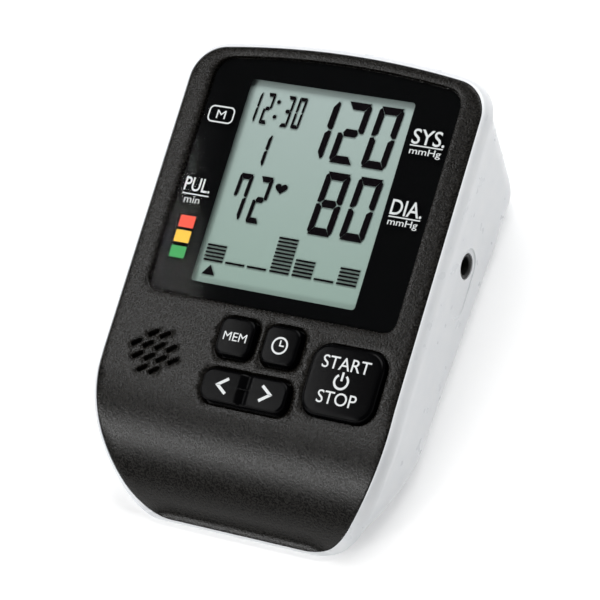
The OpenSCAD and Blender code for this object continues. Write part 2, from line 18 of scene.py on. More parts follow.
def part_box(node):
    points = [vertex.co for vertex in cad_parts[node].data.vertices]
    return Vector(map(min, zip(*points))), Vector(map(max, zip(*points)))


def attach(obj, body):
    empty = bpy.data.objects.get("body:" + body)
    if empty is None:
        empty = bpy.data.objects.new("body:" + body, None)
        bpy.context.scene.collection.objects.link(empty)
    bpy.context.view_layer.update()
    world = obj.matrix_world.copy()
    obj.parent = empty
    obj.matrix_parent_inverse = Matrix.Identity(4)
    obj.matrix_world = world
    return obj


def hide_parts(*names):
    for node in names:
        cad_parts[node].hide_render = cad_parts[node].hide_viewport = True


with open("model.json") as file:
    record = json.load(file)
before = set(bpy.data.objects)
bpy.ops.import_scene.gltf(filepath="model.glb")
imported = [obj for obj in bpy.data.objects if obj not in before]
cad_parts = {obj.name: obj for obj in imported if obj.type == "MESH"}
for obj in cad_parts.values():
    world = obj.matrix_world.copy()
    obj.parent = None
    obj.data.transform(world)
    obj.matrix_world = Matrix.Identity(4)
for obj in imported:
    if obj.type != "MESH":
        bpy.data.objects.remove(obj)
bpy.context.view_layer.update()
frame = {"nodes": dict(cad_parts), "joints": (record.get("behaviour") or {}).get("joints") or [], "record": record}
MM = 0.001
joints = {joint["name"]: joint for joint in frame["joints"]}


def low(node):
    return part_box(node)[0] / MM


def high(node):
    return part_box(node)[1] / MM


def middle(node):
    return (low(node) + high(node)) / 2


# %% [markdown]
# ## The face's own frame
# The face is tilted, so its parts are drawn flat and then laid on it. X runs to the right, F up
# the face and N out of it. The rocker key's joint turns about F, so the joint gives the tilt.
# The display lies 3.6 mm under the face, in the middle.

# %% Turn face coordinates into places
RIGHT = Vector((1, 0, 0))
UP_FACE = Vector(joints["rocker_tilt"]["axis"]).normalized()
OUT = RIGHT.cross(UP_FACE)
TILT = math.atan2(UP_FACE.z, UP_FACE.y)
DISPLAY_DEPTH = 3.6
FACE = middle("lcd_cell") + OUT * DISPLAY_DEPTH


def on_face(x, f, n=0.0):
    return (FACE + RIGHT * x + UP_FACE * f + OUT * n) * MM


def n_at_height(f, z):
    """The N at which a point up the face at f lies z above the table."""
    return (z - FACE.z - f * math.sin(TILT)) / math.cos(TILT)


print("tilt", round(math.degrees(TILT), 2), "middle of the face", FACE)

# %% [markdown]
# ## Outlines
# The case, the lid and the window share one kind of outline: a crowned rear edge with rounded
# corners and straight sides. The case and the lid also taper at the front. Each outline is built
# from arcs with a fixed number of points, so two outlines can be joined point to point.

# %% Arcs and outlines
CASE_HALF_W = high("lower_shell").x
LID_HALF_W = high("front_panel").x
WINDOW_HALF_W = high("window_lens").x
UNDER_Z = low("battery_door").z
CROWN_R = 312.0
TAPER_START = -67.0
TAPER_ANGLE = 37.3
TAPER_R = 54.8
ROLL_START = -62.5
ROLL_R = 54.2
LID_REAR, LID_FRONT, LID_CORNER = 47.6, -109.1, 12.0


def arc(cx, cy, r, start, stop, steps):
    """Points along an arc, angles in degrees."""
    angles = [math.radians(start + (stop - start) * i / steps) for i in range(steps + 1)]
    return [(cx + r * math.cos(a), cy + r * math.sin(a)) for a in angles]


def line(start, stop, steps):
    """Points between two points, without either end."""
    shares = [i / steps for i in range(1, steps)]
    return [tuple(a + (b - a) * s for a, b in zip(start, stop)) for s in shares]


def rear_edge(w, rear, r):
    cy = rear - CROWN_R
    dx = w - r
    dy = math.sqrt((CROWN_R - r) ** 2 - dx * dx)
    turn = math.degrees(math.atan2(dy, dx))
    return arc(dx, cy + dy, r, 0, turn, 16) + arc(0, cy, CROWN_R, turn, 90, 14)[1:]


def front_edge(w, front):
    r1 = TAPER_R + w - LID_HALF_W
    x1 = w - r1 * (1 - math.cos(math.radians(TAPER_ANGLE)))
    y1 = TAPER_START - r1 * math.sin(math.radians(TAPER_ANGLE))
    r2 = (y1 - front) / (1 - math.sin(math.radians(TAPER_ANGLE)))
    cx = x1 - r2 * math.cos(math.radians(TAPER_ANGLE))
    corner = arc(cx, front + r2, r2, -90, -TAPER_ANGLE, 14)
    return [(0.0, front)] + line((0.0, front), corner[0], 6) + corner + arc(
        w - r1, TAPER_START, r1, -TAPER_ANGLE, 0, 18)[1:]


def outline(w, rear, front, r):
    rear_half = rear_edge(w, rear, r)
    front_half = front_edge(w, front)
    right = front_half + line(front_half[-1], rear_half[0], 26) + rear_half
    return right + [(-x, f) for x, f in reversed(right[1:-1])]


def rounded_box(w, h, r, steps=8, side=4):
    """A rounded rectangle about the origin, from the middle of its right side."""
    a, b = w / 2 - r, h / 2 - r
    corners = [arc(sx * a, sy * b, r, turn, turn + 90, steps)
               for sx, sy, turn in ((1, 1, 0), (-1, 1, 90), (-1, -1, 180), (1, -1, 270))]
    points = []
    for here, after in zip(corners, corners[1:] + corners[:1]):
        points += here + line(here[-1], after[0], side)
    return points


def moved(points, x, f):
    return [(px + x, pf + f) for px, pf in points]


def turned(points, degrees):
    c, s = math.cos(math.radians(degrees)), math.sin(math.radians(degrees))
    return [(x * c - f * s, x * s + f * c) for x, f in points]


def grown(points, by):
    """The outline moved out by a distance, along its own normals."""
    out = []
    for before, here, after in zip(points[-1:] + points[:-1], points, points[1:] + points[:1]):
        dx, dy = after[0] - before[0], after[1] - before[1]
        size = math.hypot(dx, dy) or 1.0
        out.append((here[0] + by * dy / size, here[1] - by * dx / size))
    return out


def roll(f, inset=0.0):
    """N of the face, or of a face inset under it: flat at the display, then rolling forward."""
    r = ROLL_R - inset
    return math.sqrt(max(r * r - max(ROLL_START - f, 0.0) ** 2, 0.0)) - ROLL_R


def smooth_max(a, b, blend):
    """The larger of two values, with a soft change from one to the other."""
    share = max(blend - abs(a - b), 0.0) / blend
    return max(a, b) + share * share * blend / 4


LIP_TOP = UNDER_Z + 0.75
FACE_BLEND = 1.6


def lid_top(f):
    """N of the lid's outer surface, which levels out just above the table."""
    return smooth_max(roll(f), n_at_height(f, LIP_TOP), FACE_BLEND)


lid_outline = outline(LID_HALF_W, LID_REAR, LID_FRONT, LID_CORNER)
print("lid outline", len(lid_outline), "points; its front edge is at N", round(lid_top(LID_FRONT), 2))

# %% [markdown]
# ## Mesh helpers
# Most skins are lofts: rings of points joined by four-sided faces, which shade evenly. The lid is
# a plate with holes, so it is filled with a triangulation that keeps its edges, and its walls
# are lofted from those edges. Every mesh is left at the origin with its place in its points.

# %% Make pieces from points and faces
def linked(name, data):
    """A new object in the scene that holds a mesh, some text, a lamp or a camera."""
    thing = bpy.data.objects.new(name, data)
    bpy.context.scene.collection.objects.link(thing)
    return thing


def turned_out(mesh, meet=None):
    """Turns every face outwards, after joining points that lie closer than meet, in metres."""
    shaper = bmesh.new()
    shaper.from_mesh(mesh)
    if meet:
        bmesh.ops.remove_doubles(shaper, verts=shaper.verts, dist=meet)
    bmesh.ops.recalc_face_normals(shaper, faces=shaper.faces)
    shaper.to_mesh(mesh)
    shaper.free()


def smoothed(piece, sharp):
    """The piece with smooth faces, except across edges sharper than an angle in degrees."""
    piece.data.shade_smooth()
    piece.data.set_sharp_from_angle(angle=math.radians(sharp))
    return piece


def piece_from(name, points, faces, sharp=35):
    """A piece whose faces point outwards and are smooth except across sharp edges."""
    mesh = bpy.data.meshes.new(name)
    mesh.from_pydata([tuple(p) for p in points], [], faces)
    turned_out(mesh, 1e-7)
    return smoothed(linked(name, mesh), sharp)


def joined(name, parts, sharp=30):
    """One piece from several lots of points and faces."""
    points, faces = [], []
    for some_points, some_faces in parts:
        faces += [tuple(i + len(points) for i in face) for face in some_faces]
        points += some_points
    return piece_from(name, points, faces, sharp)


def loft(rings, first_cap=True, last_cap=True):
    """Points and faces of a tube through rings of equal length."""
    count = len(rings[0])
    points = [p for ring in rings for p in ring]
    faces = []
    for level in range(len(rings) - 1):
        base = level * count
        for i in range(count):
            j = (i + 1) % count
            faces.append((base + i, base + j, base + count + j, base + count + i))
    if first_cap:
        faces.append(tuple(range(count))[::-1])
    if last_cap:
        faces.append(tuple(range(len(points) - count, len(points))))
    return points, faces


def inside(point, loop):
    """True if a point lies in a closed outline."""
    x, f = point
    odd = False
    for (ax, af), (bx, bf) in zip(loop, loop[1:] + loop[:1]):
        if (af > f) != (bf > f) and x < (bx - ax) * (f - af) / (bf - af) + ax:
            odd = not odd
    return odd


def filled(loops, step):
    """Triangles between an outline and its holes: (points, faces, where each loop's points went)."""
    outer, holes = loops[0], loops[1:]
    points, edges = [], []
    for loop in loops:
        start = len(points)
        points += loop
        edges += [(start + i, start + (i + 1) % len(loop)) for i in range(len(loop))]
    edge_count = len(points)
    guard = [grown(loop, step * 0.45 * side) for loop, side in zip(loops, [-1] + [1] * len(holes))]
    xs, fs = [p[0] for p in outer], [p[1] for p in outer]
    for i in range(int((max(xs) - min(xs)) / step) + 1):
        for j in range(int((max(fs) - min(fs)) / step) + 1):
            p = (min(xs) + (i + 0.5 * (j % 2)) * step, min(fs) + j * step)
            if inside(p, guard[0]) and not any(inside(p, hole) for hole in guard[1:]):
                points.append(p)
    made = delaunay_2d_cdt([Vector(p) for p in points], edges, [], 0, 1e-6)
    out_points, out_faces, origins = made[0], made[2], made[3]
    places = {}
    for here, sources in enumerate(origins):
        for source in sources:
            places[source] = here
    kept = []
    for face in out_faces:
        centre = sum((out_points[i] for i in face), Vector((0, 0))) / len(face)
        if inside(centre, outer) and not any(inside(centre, hole) for hole in holes):
            kept.append(face)
    starts, loop_places = 0, []
    for loop in loops:
        loop_places.append([places[starts + i] for i in range(len(loop))])
        starts += len(loop)
    return [tuple(p) for p in out_points], kept, loop_places


def plate(walls, step=2.5):
    """A plate with holes. walls[0] is the outer edge and the others are holes: each is a list of
    (outline, height function) from the top face's edge to the bottom face's edge."""
    points, faces = [], []
    ends = []
    for which in (0, -1):
        flat, triangles, places = filled([wall[which][0] for wall in walls], step)
        height = walls[0][which][1]
        start = len(points)
        points += [on_face(x, f, height(f)) for x, f in flat]
        faces += [tuple(start + i for i in t) for t in triangles]
        for wall, where in zip(walls, places):
            for (x, f), i in zip(wall[which][0], where):
                points[start + i] = on_face(x, f, wall[which][1](f))
        ends.append([[start + i for i in where] for where in places])
    for k, wall in enumerate(walls):
        rings = [ends[0][k]]
        for loop, height in wall[1:-1]:
            rings.append(list(range(len(points), len(points) + len(loop))))
            points += [on_face(x, f, height(f)) for x, f in loop]
        rings.append(ends[1][k])
        for above, below in zip(rings, rings[1:]):
            for i in range(len(above)):
                j = (i + 1) % len(above)
                faces.append((above[i], above[j], below[j], below[i]))
    return points, faces


def drop(by):
    """A height function that lies a distance under the lid's surface."""
    return lambda f: lid_top(f) - by


def level(n):
    return lambda f: n


def ready(piece, body, slot, material, *replaced):
    """Gives a finished piece its material and its body, and hides the CAD nodes it stands for; the slot is not
    used.
    """
    piece.data.materials.clear()
    piece.data.materials.append(material)
    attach(piece, body)
    if replaced:
        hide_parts(*replaced)
    print(piece.name, "on", body, "with", len(piece.data.polygons), "faces")
    return piece


def is_closed(mesh):
    shaper = bmesh.new()
    shaper.from_mesh(mesh)
    closed = all(edge.is_manifold for edge in shaper.edges)
    shaper.free()
    return closed


def mesh_of(thing):
    """A new mesh of what an object comes to, with its text filled or its modifiers run."""
    bpy.context.view_layer.update()
    return bpy.data.meshes.new_from_object(thing.evaluated_get(bpy.context.evaluated_depsgraph_get()))


def applied(piece):
    """The piece with its modifiers made part of a plain mesh."""
    result = mesh_of(piece)
    piece.modifiers.clear()
    piece.data = result
    return piece


def cut(piece, cutters):
    """Takes each cutter's volume out of a piece."""
    for cutter in cutters:
        modifier = piece.modifiers.new("cut", "BOOLEAN")
        modifier.operation = "DIFFERENCE"
        modifier.solver = "MANIFOLD"
        modifier.object = cutter
    applied(piece)
    for cutter in cutters:
        bpy.data.objects.remove(cutter)
    return piece


# %% [markdown]
# ## Finishes
# One function turns an sRGB hex colour into linear numbers and another adds a node with its
# settings and links. Each finish below is named for the real material and how it was made.

# %% Material helpers
def srgb(code):
    parts = [int(code[i:i + 2], 16) / 255 for i in (1, 3, 5)]
    return [v / 12.92 if v <= 0.04045 else ((v + 0.055) / 1.055) ** 2.4 for v in parts] + [1.0]


def new_material(name, **settings):
    """A material and its shader; each setting is a socket's name with _ for a space."""
    material = bpy.data.materials.new(name)
    material.use_nodes = True
    shader = material.node_tree.nodes["Principled BSDF"]
    for key, value in settings.items():
        shader.inputs[key.replace("_", " ")].default_value = value
    return material, shader


def add(tree, kind, values=None, links=None, **properties):
    """A node with its properties, socket values and links from other nodes' outputs."""
    node = tree.nodes.new(kind)
    for key, value in properties.items():
        setattr(node, key, value)
    for key, value in (values or {}).items():
        node.inputs[key].default_value = value
    for key, source in (links or {}).items():
        tree.links.new(source, node.inputs[key])
    return node


def grained(name, dark, light, grain_mm, rough, bump, metallic=0.0, **settings):
    """A finish whose colour, roughness and height all follow one fine grain."""
    material, shader = new_material(name, Metallic=metallic, **settings)
    tree = material.node_tree
    place = add(tree, "ShaderNodeTexCoord").outputs["Object"]
    grain = add(tree, "ShaderNodeTexNoise", {"Scale": 1 / (grain_mm * MM), "Detail": 2.0},
                {"Vector": place}).outputs["Fac"]
    ramp = add(tree, "ShaderNodeValToRGB", links={"Fac": grain})
    ramp.color_ramp.elements[0].position = 0.32
    ramp.color_ramp.elements[1].position = 0.72
    ramp.color_ramp.elements[0].color = srgb(dark)
    ramp.color_ramp.elements[1].color = srgb(light)
    spread = add(tree, "ShaderNodeMapRange",
                 {"From Min": 0.3, "From Max": 0.7, "To Min": rough[0], "To Max": rough[1]},
                 {"Value": grain})
    height = add(tree, "ShaderNodeBump", {"Strength": bump, "Distance": grain_mm * MM * 0.3},
                 {"Height": grain})
    tree.links.new(ramp.outputs["Color"], shader.inputs["Base Color"])
    tree.links.new(spread.outputs["Result"], shader.inputs["Roughness"])
    tree.links.new(height.outputs["Normal"], shader.inputs["Normal"])
    return material


# %% [markdown]
# The lid is black ABS moulded against a spark-eroded steel tool. The tool's craters leave grains
# about half a millimetre wide, which break up every reflection. The case is gloss white ABS from
# a polished tool, and the keys are satin black.

# %% Plastics
textured_black_abs = grained("spark_eroded_black_abs", "#010101", "#1A1713", 0.62, (0.2, 0.34), 0.45,
                            Specular_IOR_Level=0.22)
white_abs = grained("polished_white_abs", "#E4E7EA", "#E9EBED", 6.0, (0.27, 0.31), 0.0)
satin_black_abs = grained("satin_black_abs", "#020203", "#040405", 0.2, (0.2, 0.28), 0.05,
                         Specular_IOR_Level=0.06)
dark_plastic = grained("black_nylon", "#0E0E0F", "#191919", 0.3, (0.45, 0.6), 0.2)
natural_plastic = grained("natural_acetal", "#D8D7CF", "#E6E5DF", 0.5, (0.35, 0.5), 0.1)
black_rubber = grained("moulded_black_rubber", "#121212", "#202020", 0.35, (0.6, 0.8), 0.3)
silicone = grained("translucent_silicone_hose", "#D9D3C6", "#E8E4DA", 0.8, (0.35, 0.5), 0.1)
foam_tape = grained("black_foam_tape", "#0B0B0B", "#161616", 0.25, (0.8, 0.95), 0.4)
solder_mask = grained("green_solder_mask", "#0C3B22", "#1B6A3C", 1.2, (0.25, 0.4), 0.15)
paper_cone = grained("pressed_paper_cone", "#191613", "#2A2521", 0.3, (0.7, 0.9), 0.5)
ferrite = grained("sintered_ferrite", "#3A3C3E", "#4C4E50", 0.3, (0.6, 0.8), 0.3)
print("plastics", [m.name for m in bpy.data.materials if "plastic" in m.name or "abs" in m.name])

# %% [markdown]
# Metals keep the shader's own IOR. Plated steel is bright and slightly uneven; copper wire is
# wound in turns, which a wave pattern along the coil stands for at the wire's real 0.25 mm.

# %% Metals
plated_steel = grained("zinc_plated_steel", "#A9ABAD", "#C3C5C6", 0.5, (0.25, 0.4), 0.1, metallic=1.0)
nickel = grained("nickel_plated_spring_steel", "#B9B8B2", "#D2D1CB", 0.6, (0.15, 0.28), 0.05,
                 metallic=1.0)
bright_pin = grained("nickel_plated_brass", "#C2B280", "#D6C99B", 0.5, (0.15, 0.25), 0.05, metallic=1.0)


def wound_copper():
    wire_mm = 0.25
    material, shader = new_material("enamelled_copper_winding", Metallic=1.0, Roughness=0.3)
    tree = material.node_tree
    place = add(tree, "ShaderNodeTexCoord").outputs["Object"]
    turns = add(tree, "ShaderNodeTexWave", {"Scale": 1 / (wire_mm * MM) / 20, "Distortion": 0.6},
                {"Vector": place}, bands_direction="X")
    ramp = add(tree, "ShaderNodeValToRGB", links={"Fac": turns.outputs["Fac"]})
    ramp.color_ramp.elements[0].color = srgb("#6B2E14")
    ramp.color_ramp.elements[1].color = srgb("#C46A38")
    height = add(tree, "ShaderNodeBump", {"Strength": 0.6, "Distance": wire_mm * MM},
                 {"Height": turns.outputs["Fac"]})
    tree.links.new(ramp.outputs["Color"], shader.inputs["Base Color"])
    tree.links.new(height.outputs["Normal"], shader.inputs["Normal"])
    return material


copper = wound_copper()
print("metals", plated_steel.name, nickel.name, copper.name)

# %% [markdown]
# The window is clear acrylic, printed black on its back round the display. Clear parts get a low
# alpha and no tint, so light still reaches the display under them. Ink is flat and a little
# glossy. The display's reflector is grey-green film, and its colour carries painted light at the
# top and painted shade towards the bottom.

# %% Window, inks and display film
def clear(name, alpha, rough):
    material = grained(name, "#000000", "#050506", 5.0, (rough, rough + 0.02), 0.0, Alpha=alpha,
                       Specular_IOR_Level=0.14)
    material.surface_render_method = "BLENDED"
    return material


def ink(name, colour, rough=0.35, gloss=0.5):
    return grained(name, colour, colour, 0.3, (rough, rough + 0.08), 0.05, Specular_IOR_Level=gloss)


def reflector_film():
    """Film whose colour grades from painted shade at the display's bottom edge to painted light at its top."""
    top, bottom = 35.0, -35.0
    # The bottom colour is painted shade and the top colour is painted light; they grade up the face.
    painted_shade_bottom, painted_light_top = "#AFCBBF", "#C6DAD5"
    material = grained("display_reflector_film_painted_light", painted_shade_bottom, painted_light_top, 0.35, (0.5, 0.6), 0.05)
    tree = material.node_tree
    shader = tree.nodes["Principled BSDF"]
    place = add(tree, "ShaderNodeTexCoord").outputs["Object"]
    depth = add(tree, "ShaderNodeSeparateXYZ", links={"Vector": place})
    share = add(tree, "ShaderNodeMapRange",
                {"From Min": on_face(0, bottom).y, "From Max": on_face(0, top).y},
                {"Value": depth.outputs["Y"]})
    ramp = add(tree, "ShaderNodeValToRGB", links={"Fac": share.outputs["Result"]})
    ramp.color_ramp.elements[0].color = srgb(painted_shade_bottom)
    ramp.color_ramp.elements[1].color = srgb(painted_light_top)
    tree.links.new(ramp.outputs["Color"], shader.inputs["Base Color"])
    return material


acrylic = clear("clear_acrylic_window", 0.1, 0.03)
cell_glass = clear("display_cell_glass", 0.04, 0.05)
mask_ink = ink("black_mask_ink", "#020304", 0.6, 0.05)
label_ink = ink("pale_grey_label_ink", "#D2D6D6")
key_ink = ink("white_key_ink", "#DDE0E0")
red_ink = ink("red_ink", "#F2482A")
yellow_ink = ink("yellow_ink", "#F9C22E")
green_ink = ink("green_ink", "#1F9A45")
segment_ink = ink("display_segment", "#0C070C", 0.5, 0.05)
# The film's colour holds painted light at the top and painted shade at the bottom.
film = reflector_film()
print("display", film.name, "under", cell_glass.name, "and", acrylic.name)

# %% [markdown]
# ## The case
# The tub is one loft. Its rings start at the rim beside the lid, go over a soft edge, down the
# wall and round into the flat underside. The wall leans in: 3 degrees at the sides and 22.6 at
# the rear. Then the hollow and the openings are cut out of it.

# %% Rings of the case
CASE_REAR, CASE_FRONT, CASE_CORNER = 50.2, -109.9, 14.0
REAR_LEAN = math.tan(math.radians(22.6))
SIDE_DRAFT = math.tan(math.radians(3))
RIM_DROP = 4.2
LOW_EDGE = 6.5
SEAT_GAP = 0.16

seat = outline(LID_HALF_W + SEAT_GAP, LID_REAR + SEAT_GAP, LID_FRONT - SEAT_GAP, LID_CORNER)
rim = outline(CASE_HALF_W, CASE_REAR, CASE_FRONT, CASE_CORNER)
DEEP = 40.0
rim_deep = outline(CASE_HALF_W - DEEP * SIDE_DRAFT, CASE_REAR - DEEP * REAR_LEAN, CASE_FRONT,
                   CASE_CORNER)


def wall_point(i, n, inward=0.0):
    """The case's outer wall at a point of the rim and a depth, or that far inside it."""
    share = max(-n, 0.0) / DEEP
    x = rim[i][0] + (rim_deep[i][0] - rim[i][0]) * share
    f = rim[i][1] + (rim_deep[i][1] - rim[i][1]) * share
    if inward:
        dx, df = rim[i][0] - seat[i][0], rim[i][1] - seat[i][1]
        size = math.hypot(dx, df)
        x, f = x - inward * dx / size, f - inward * df / size
    return x, f


def case_rings():
    count = len(rim)
    tops = [lid_top(f) for x, f in rim]
    walls = [top - n_at_height(f, UNDER_Z) for top, (x, f) in zip(tops, rim)]
    edge = [min(RIM_DROP, 0.45 * wall) for wall in walls]
    foot = [min(LOW_EDGE, 0.5 * wall) for wall in walls]
    rings = []
    for turn in [math.radians(a) for a in (0, 8, 18, 28, 38, 48, 58, 68, 78, 90)]:
        ring = []
        for i in range(count):
            s = math.sin(turn)
            x = seat[i][0] + (rim[i][0] - seat[i][0]) * s
            f = seat[i][1] + (rim[i][1] - seat[i][1]) * s
            ring.append((x, f, lid_top(f) - edge[i] * (1 - math.cos(turn))))
        rings.append(ring)
    levels = 14
    for k in range(1, levels + 1):
        ring = []
        for i in range(count):
            start = rings[9][i][2]
            end = n_at_height(rim[i][1] - 12 * (rim[i][1] > 20), UNDER_Z + foot[i])
            n = start + (end - start) * k / levels
            ring.append((*wall_point(i, n), n))
        rings.append(ring)
    last = rings[-1]
    for turn in [math.radians(a) for a in (12, 24, 36, 48, 60, 72, 82, 90)]:
        ring = []
        for i in range(count):
            x, f = wall_point(i, last[i][2] - foot[i] * math.sin(turn), foot[i] * (1 - math.cos(turn)))
            start = last[i][2]
            end = n_at_height(f, UNDER_Z)
            ring.append((x, f, start + (end - start) * math.sin(turn)))
        rings.append(ring)
    return [[on_face(*p) for p in ring] for ring in rings]


WALL = 2.2
FLOOR_Z = UNDER_Z + WALL
SEAT_DEPTH = 2.6
LID_T = 2.4


def inner_rings():
    """From the seat of the lid down the inside of the wall to the floor."""
    rings, count = [], len(rim)
    ledge = [max(lid_top(f) - SEAT_DEPTH, n_at_height(f, UNDER_Z + 0.4)) for x, f in seat]
    rings.append([(x, f, n) for (x, f), n in zip(seat, ledge)])
    rings.append([(*wall_point(i, ledge[i], WALL), ledge[i]) for i in range(count)])
    for z, inward in ((FLOOR_Z + 4, WALL), (FLOOR_Z + 1, WALL + 1), (FLOOR_Z, WALL + 4)):
        ring = []
        for i, (x, f, n) in enumerate(rings[-1]):
            deeper = min(n, n_at_height(f - 10 * (f > 20), z))
            ring.append((*wall_point(i, deeper, inward), deeper))
        rings.append(ring)
    return [[on_face(*p) for p in ring] for ring in rings]


case = piece_from("case_shell", *loft(inner_rings()[::-1] + case_rings()))
print("case with", len(case.data.vertices), "points, closed", is_closed(case.data))

# %% [markdown]
# The openings in the case are cut with closed blocks: the mouth of the battery bay, the holes
# of the two sockets and the screws, and the shallow stadium pressed into the wall round the
# power socket, whose edge slopes so that a finger finds it.

# %% Cut the openings of the case


def box_block(name, x, y, z):
    corners = [[(x[i], y[j], z[k]) for i, j in ((0, 0), (1, 0), (1, 1), (0, 1))] for k in (0, 1)]
    return piece_from(name, *loft([[Vector(p) * MM for p in ring] for ring in corners]))


def lathe(profile, start, along, steps=40, closed=False):
    """Points and faces of a turned shape. The profile is (radius, distance) from start; a closed
    profile makes a tube, an open one gets a cap at both ends."""
    start, along = Vector(start), Vector(along).normalized()
    side = along.orthogonal().normalized()
    across = along.cross(side)
    turns = [math.tau * i / steps for i in range(steps)]
    rings = [[(start + along * d + (side * math.cos(a) + across * math.sin(a)) * r) * MM for a in turns]
             for r, d in profile]
    if closed:
        return loft(rings + rings[:1], False, False)
    return loft(rings)


def rod(name, start, along, radius, length):
    return piece_from(name, *lathe([(radius, 0), (radius, length)], start, along))


socket_low, socket_high = low("power_socket"), high("power_socket")
socket = (socket_low + socket_high) / 2
air = middle("air_socket")
RECESS_RUN = (-11.5, -1.5)


def recess_block():
    """The stadium round the power socket's hole: a slanted slot that widens outwards."""
    slant = math.degrees(math.atan2(RECESS_RUN[1], RECESS_RUN[0]))
    length = math.hypot(*RECESS_RUN)
    rings = []
    edge = socket_high.x
    for x, r in ((edge + 0.25, 5.5), (edge + 0.45, 5.75), (edge + 1.6, 6.3), (60, 6.4)):
        shape = rounded_box(length + 2 * r, 2 * r, r - 0.01, 12, 4)
        shape = turned(moved(shape, length / 2, 0), slant)
        rings.append([Vector((x, socket.y + y, socket.z + z)) * MM for y, z in shape])
    return piece_from("recess", *loft(rings))


screw_places = [(-38, -62), (38, -62), (-46, 55), (47.5, 34)]
POST_TOPS = (9.9, 9.9, 19.9, 19.9)
POST_FOOT = 2.6
bay_low, bay_high = low("battery_plates"), high("battery_plates")
BAY_X = (bay_low.x - 3.4, bay_high.x + 3.4)
BAY_Y = (bay_low.y, bay_high.y)
cutters = [
    box_block("bay_mouth", BAY_X, (-22.3, 39.2), (-1, FLOOR_Z + 2)),
    box_block("latch_mouth", (-24.3, -9.7), (-27.3, -22), (-1, FLOOR_Z + 2)),
    rod("power_hole", (48, socket.y, socket.z), (1, 0, 0), 4.3, 12),
    rod("air_hole", (-48, air.y, air.z), (-1, 0, 0), 5.2, 12),
    recess_block(),
]
cutters += [rod("screw_hole", (x, y, -1), (0, 0, 1), 2.8, 6.3) for x, y in screw_places]
cut(case, cutters)
turned_out(case.data)
smoothed(case, 32)
print("case cut", len(case.data.polygons), "faces, closed", is_closed(case.data))
ready(case, "case", "white_case", white_abs, "lower_shell")

# %% [markdown]
# The cells lie in a bay with a wall of its own, open to the table. Four posts stand on the floor
# round the screw holes and carry the screws up to the lid. These are tubes, so each is a closed
# profile swept round, and the wall is a loft that goes up inside and comes down outside.

# %% Walls of the battery bay and the screw posts
def bay_walls():
    x, y, top, wall = BAY_X, BAY_Y, 19.0, 1.4
    middle_of = ((x[0] + x[1]) / 2, (y[0] + y[1]) / 2)
    inner = moved(rounded_box(x[1] - x[0], y[1] - y[0], 0.8, 4, 6), *middle_of)
    outer = moved(rounded_box(x[1] - x[0] + 2 * wall, y[1] - y[0] + 2 * wall, 1.6, 4, 6), *middle_of)
    rings = [(inner, top), (inner, FLOOR_Z - 0.1), (outer, FLOOR_Z - 0.1), (outer, top + wall)]
    return loft([[Vector((px, py, z)) * MM for px, py in shape] for shape, z in rings])


def post(x, y, top):
    """A tube with a wide bore below for the screw's head and a narrow one above for its thread."""
    head_r, thread_r, outer_r, shelf = 2.8, 1.6, 3.6, 3.7
    tip = top - POST_FOOT
    profile = [(outer_r, 0), (outer_r, tip), (thread_r, tip), (thread_r, shelf), (head_r, shelf),
               (head_r, 0)]
    return lathe(profile, (x, y, POST_FOOT), (0, 0, 1), closed=True)


posts = [post(x, y, top) for (x, y), top in zip(screw_places, POST_TOPS)]
ready(joined("bay_walls_and_posts", [bay_walls()] + posts), "case", "white_case", white_abs)

# %% [markdown]
# ## The lid
# The lid is a plate 2.4 mm thick that follows the roll of the face. It has a recess for the
# window, a sloping collar round each small key, a plain opening for the start key and the slots
# of the speaker grille. The edges round off by a third of a millimetre, which catches the light.

# %% Build the lid
KEY_GAP = 0.4


def window_outline(by):
    w, top, bottom, r_top, r_low = WINDOW_HALF_W + by, 44.3 + by, -40.3 - by, 7.0 + by, 4.0 + by
    cy = top - CROWN_R
    dy = math.sqrt((CROWN_R - r_top) ** 2 - (w - r_top) ** 2)
    turn = math.degrees(math.atan2(dy, w - r_top))
    low_corner = arc(w - r_low, bottom + r_low, r_low, -90, 0, 10)
    top_corner = arc(w - r_top, cy + dy, r_top, 0, turn, 12)
    right = ([(0.0, bottom)] + line((0.0, bottom), low_corner[0], 16) + low_corner
             + line(low_corner[-1], top_corner[0], 30) + top_corner
             + arc(0, cy, CROWN_R, turn, 90, 16)[1:])
    return right + [(-x, f) for x, f in reversed(right[1:-1])]


def boxed(w, h, target):
    """An outline drawn in to a rectangle of half width w and half height h, point for point."""
    out = []
    for x, f in target:
        scale = min(w / abs(x) if x else 1e9, h / abs(f) if f else 1e9)
        out.append((x * scale, f * scale))
    return out


KEYS = {
    "mem": ((-7.0, -51.2), (12.6, 12.6), 3.0),
    "clock": ((9.6, -51.2), (12.6, 12.6), 3.0),
    "rocker": ((1.5, -67.4), (30.9, 10.6), 3.6),
    "start": ((34.3, -58.8), (25.7, 23.2), 6.0),
}
SLOT_LENGTH, SLOT_WIDTH, SLOT_SLANT, SLOT_PITCH = 4.2, 1.4, 35.0, 4.5
GRILLE = (-35.5, -60.6)
SLOT_ROWS = ((-2.0, 6.0, 2), (-7.2, 2.0, 4), (-5.4, -2.0, 4), (-2.3, -6.0, 2))


def key_outline(name, by):
    (x, f), (w, h), r = KEYS[name]
    return moved(rounded_box(w + 2 * by, h + 2 * by, r + by, 10, 8), x, f)


def key_wall(name):
    if name == "start":
        steps = ((KEY_GAP + 0.45, 0.0), (KEY_GAP + 0.15, 0.12), (KEY_GAP, 0.45))
    else:
        steps = ((KEY_GAP + 0.85, 0.0), (KEY_GAP + 0.75, 0.06), (KEY_GAP + 0.1, 0.75),
                 (KEY_GAP, 0.9))
    wall = [(key_outline(name, by), drop(down)) for by, down in steps]
    return wall + [(key_outline(name, KEY_GAP), underside)]


def underside(f):
    return max(roll(f, LID_T), n_at_height(f, LIP_TOP - 0.25))


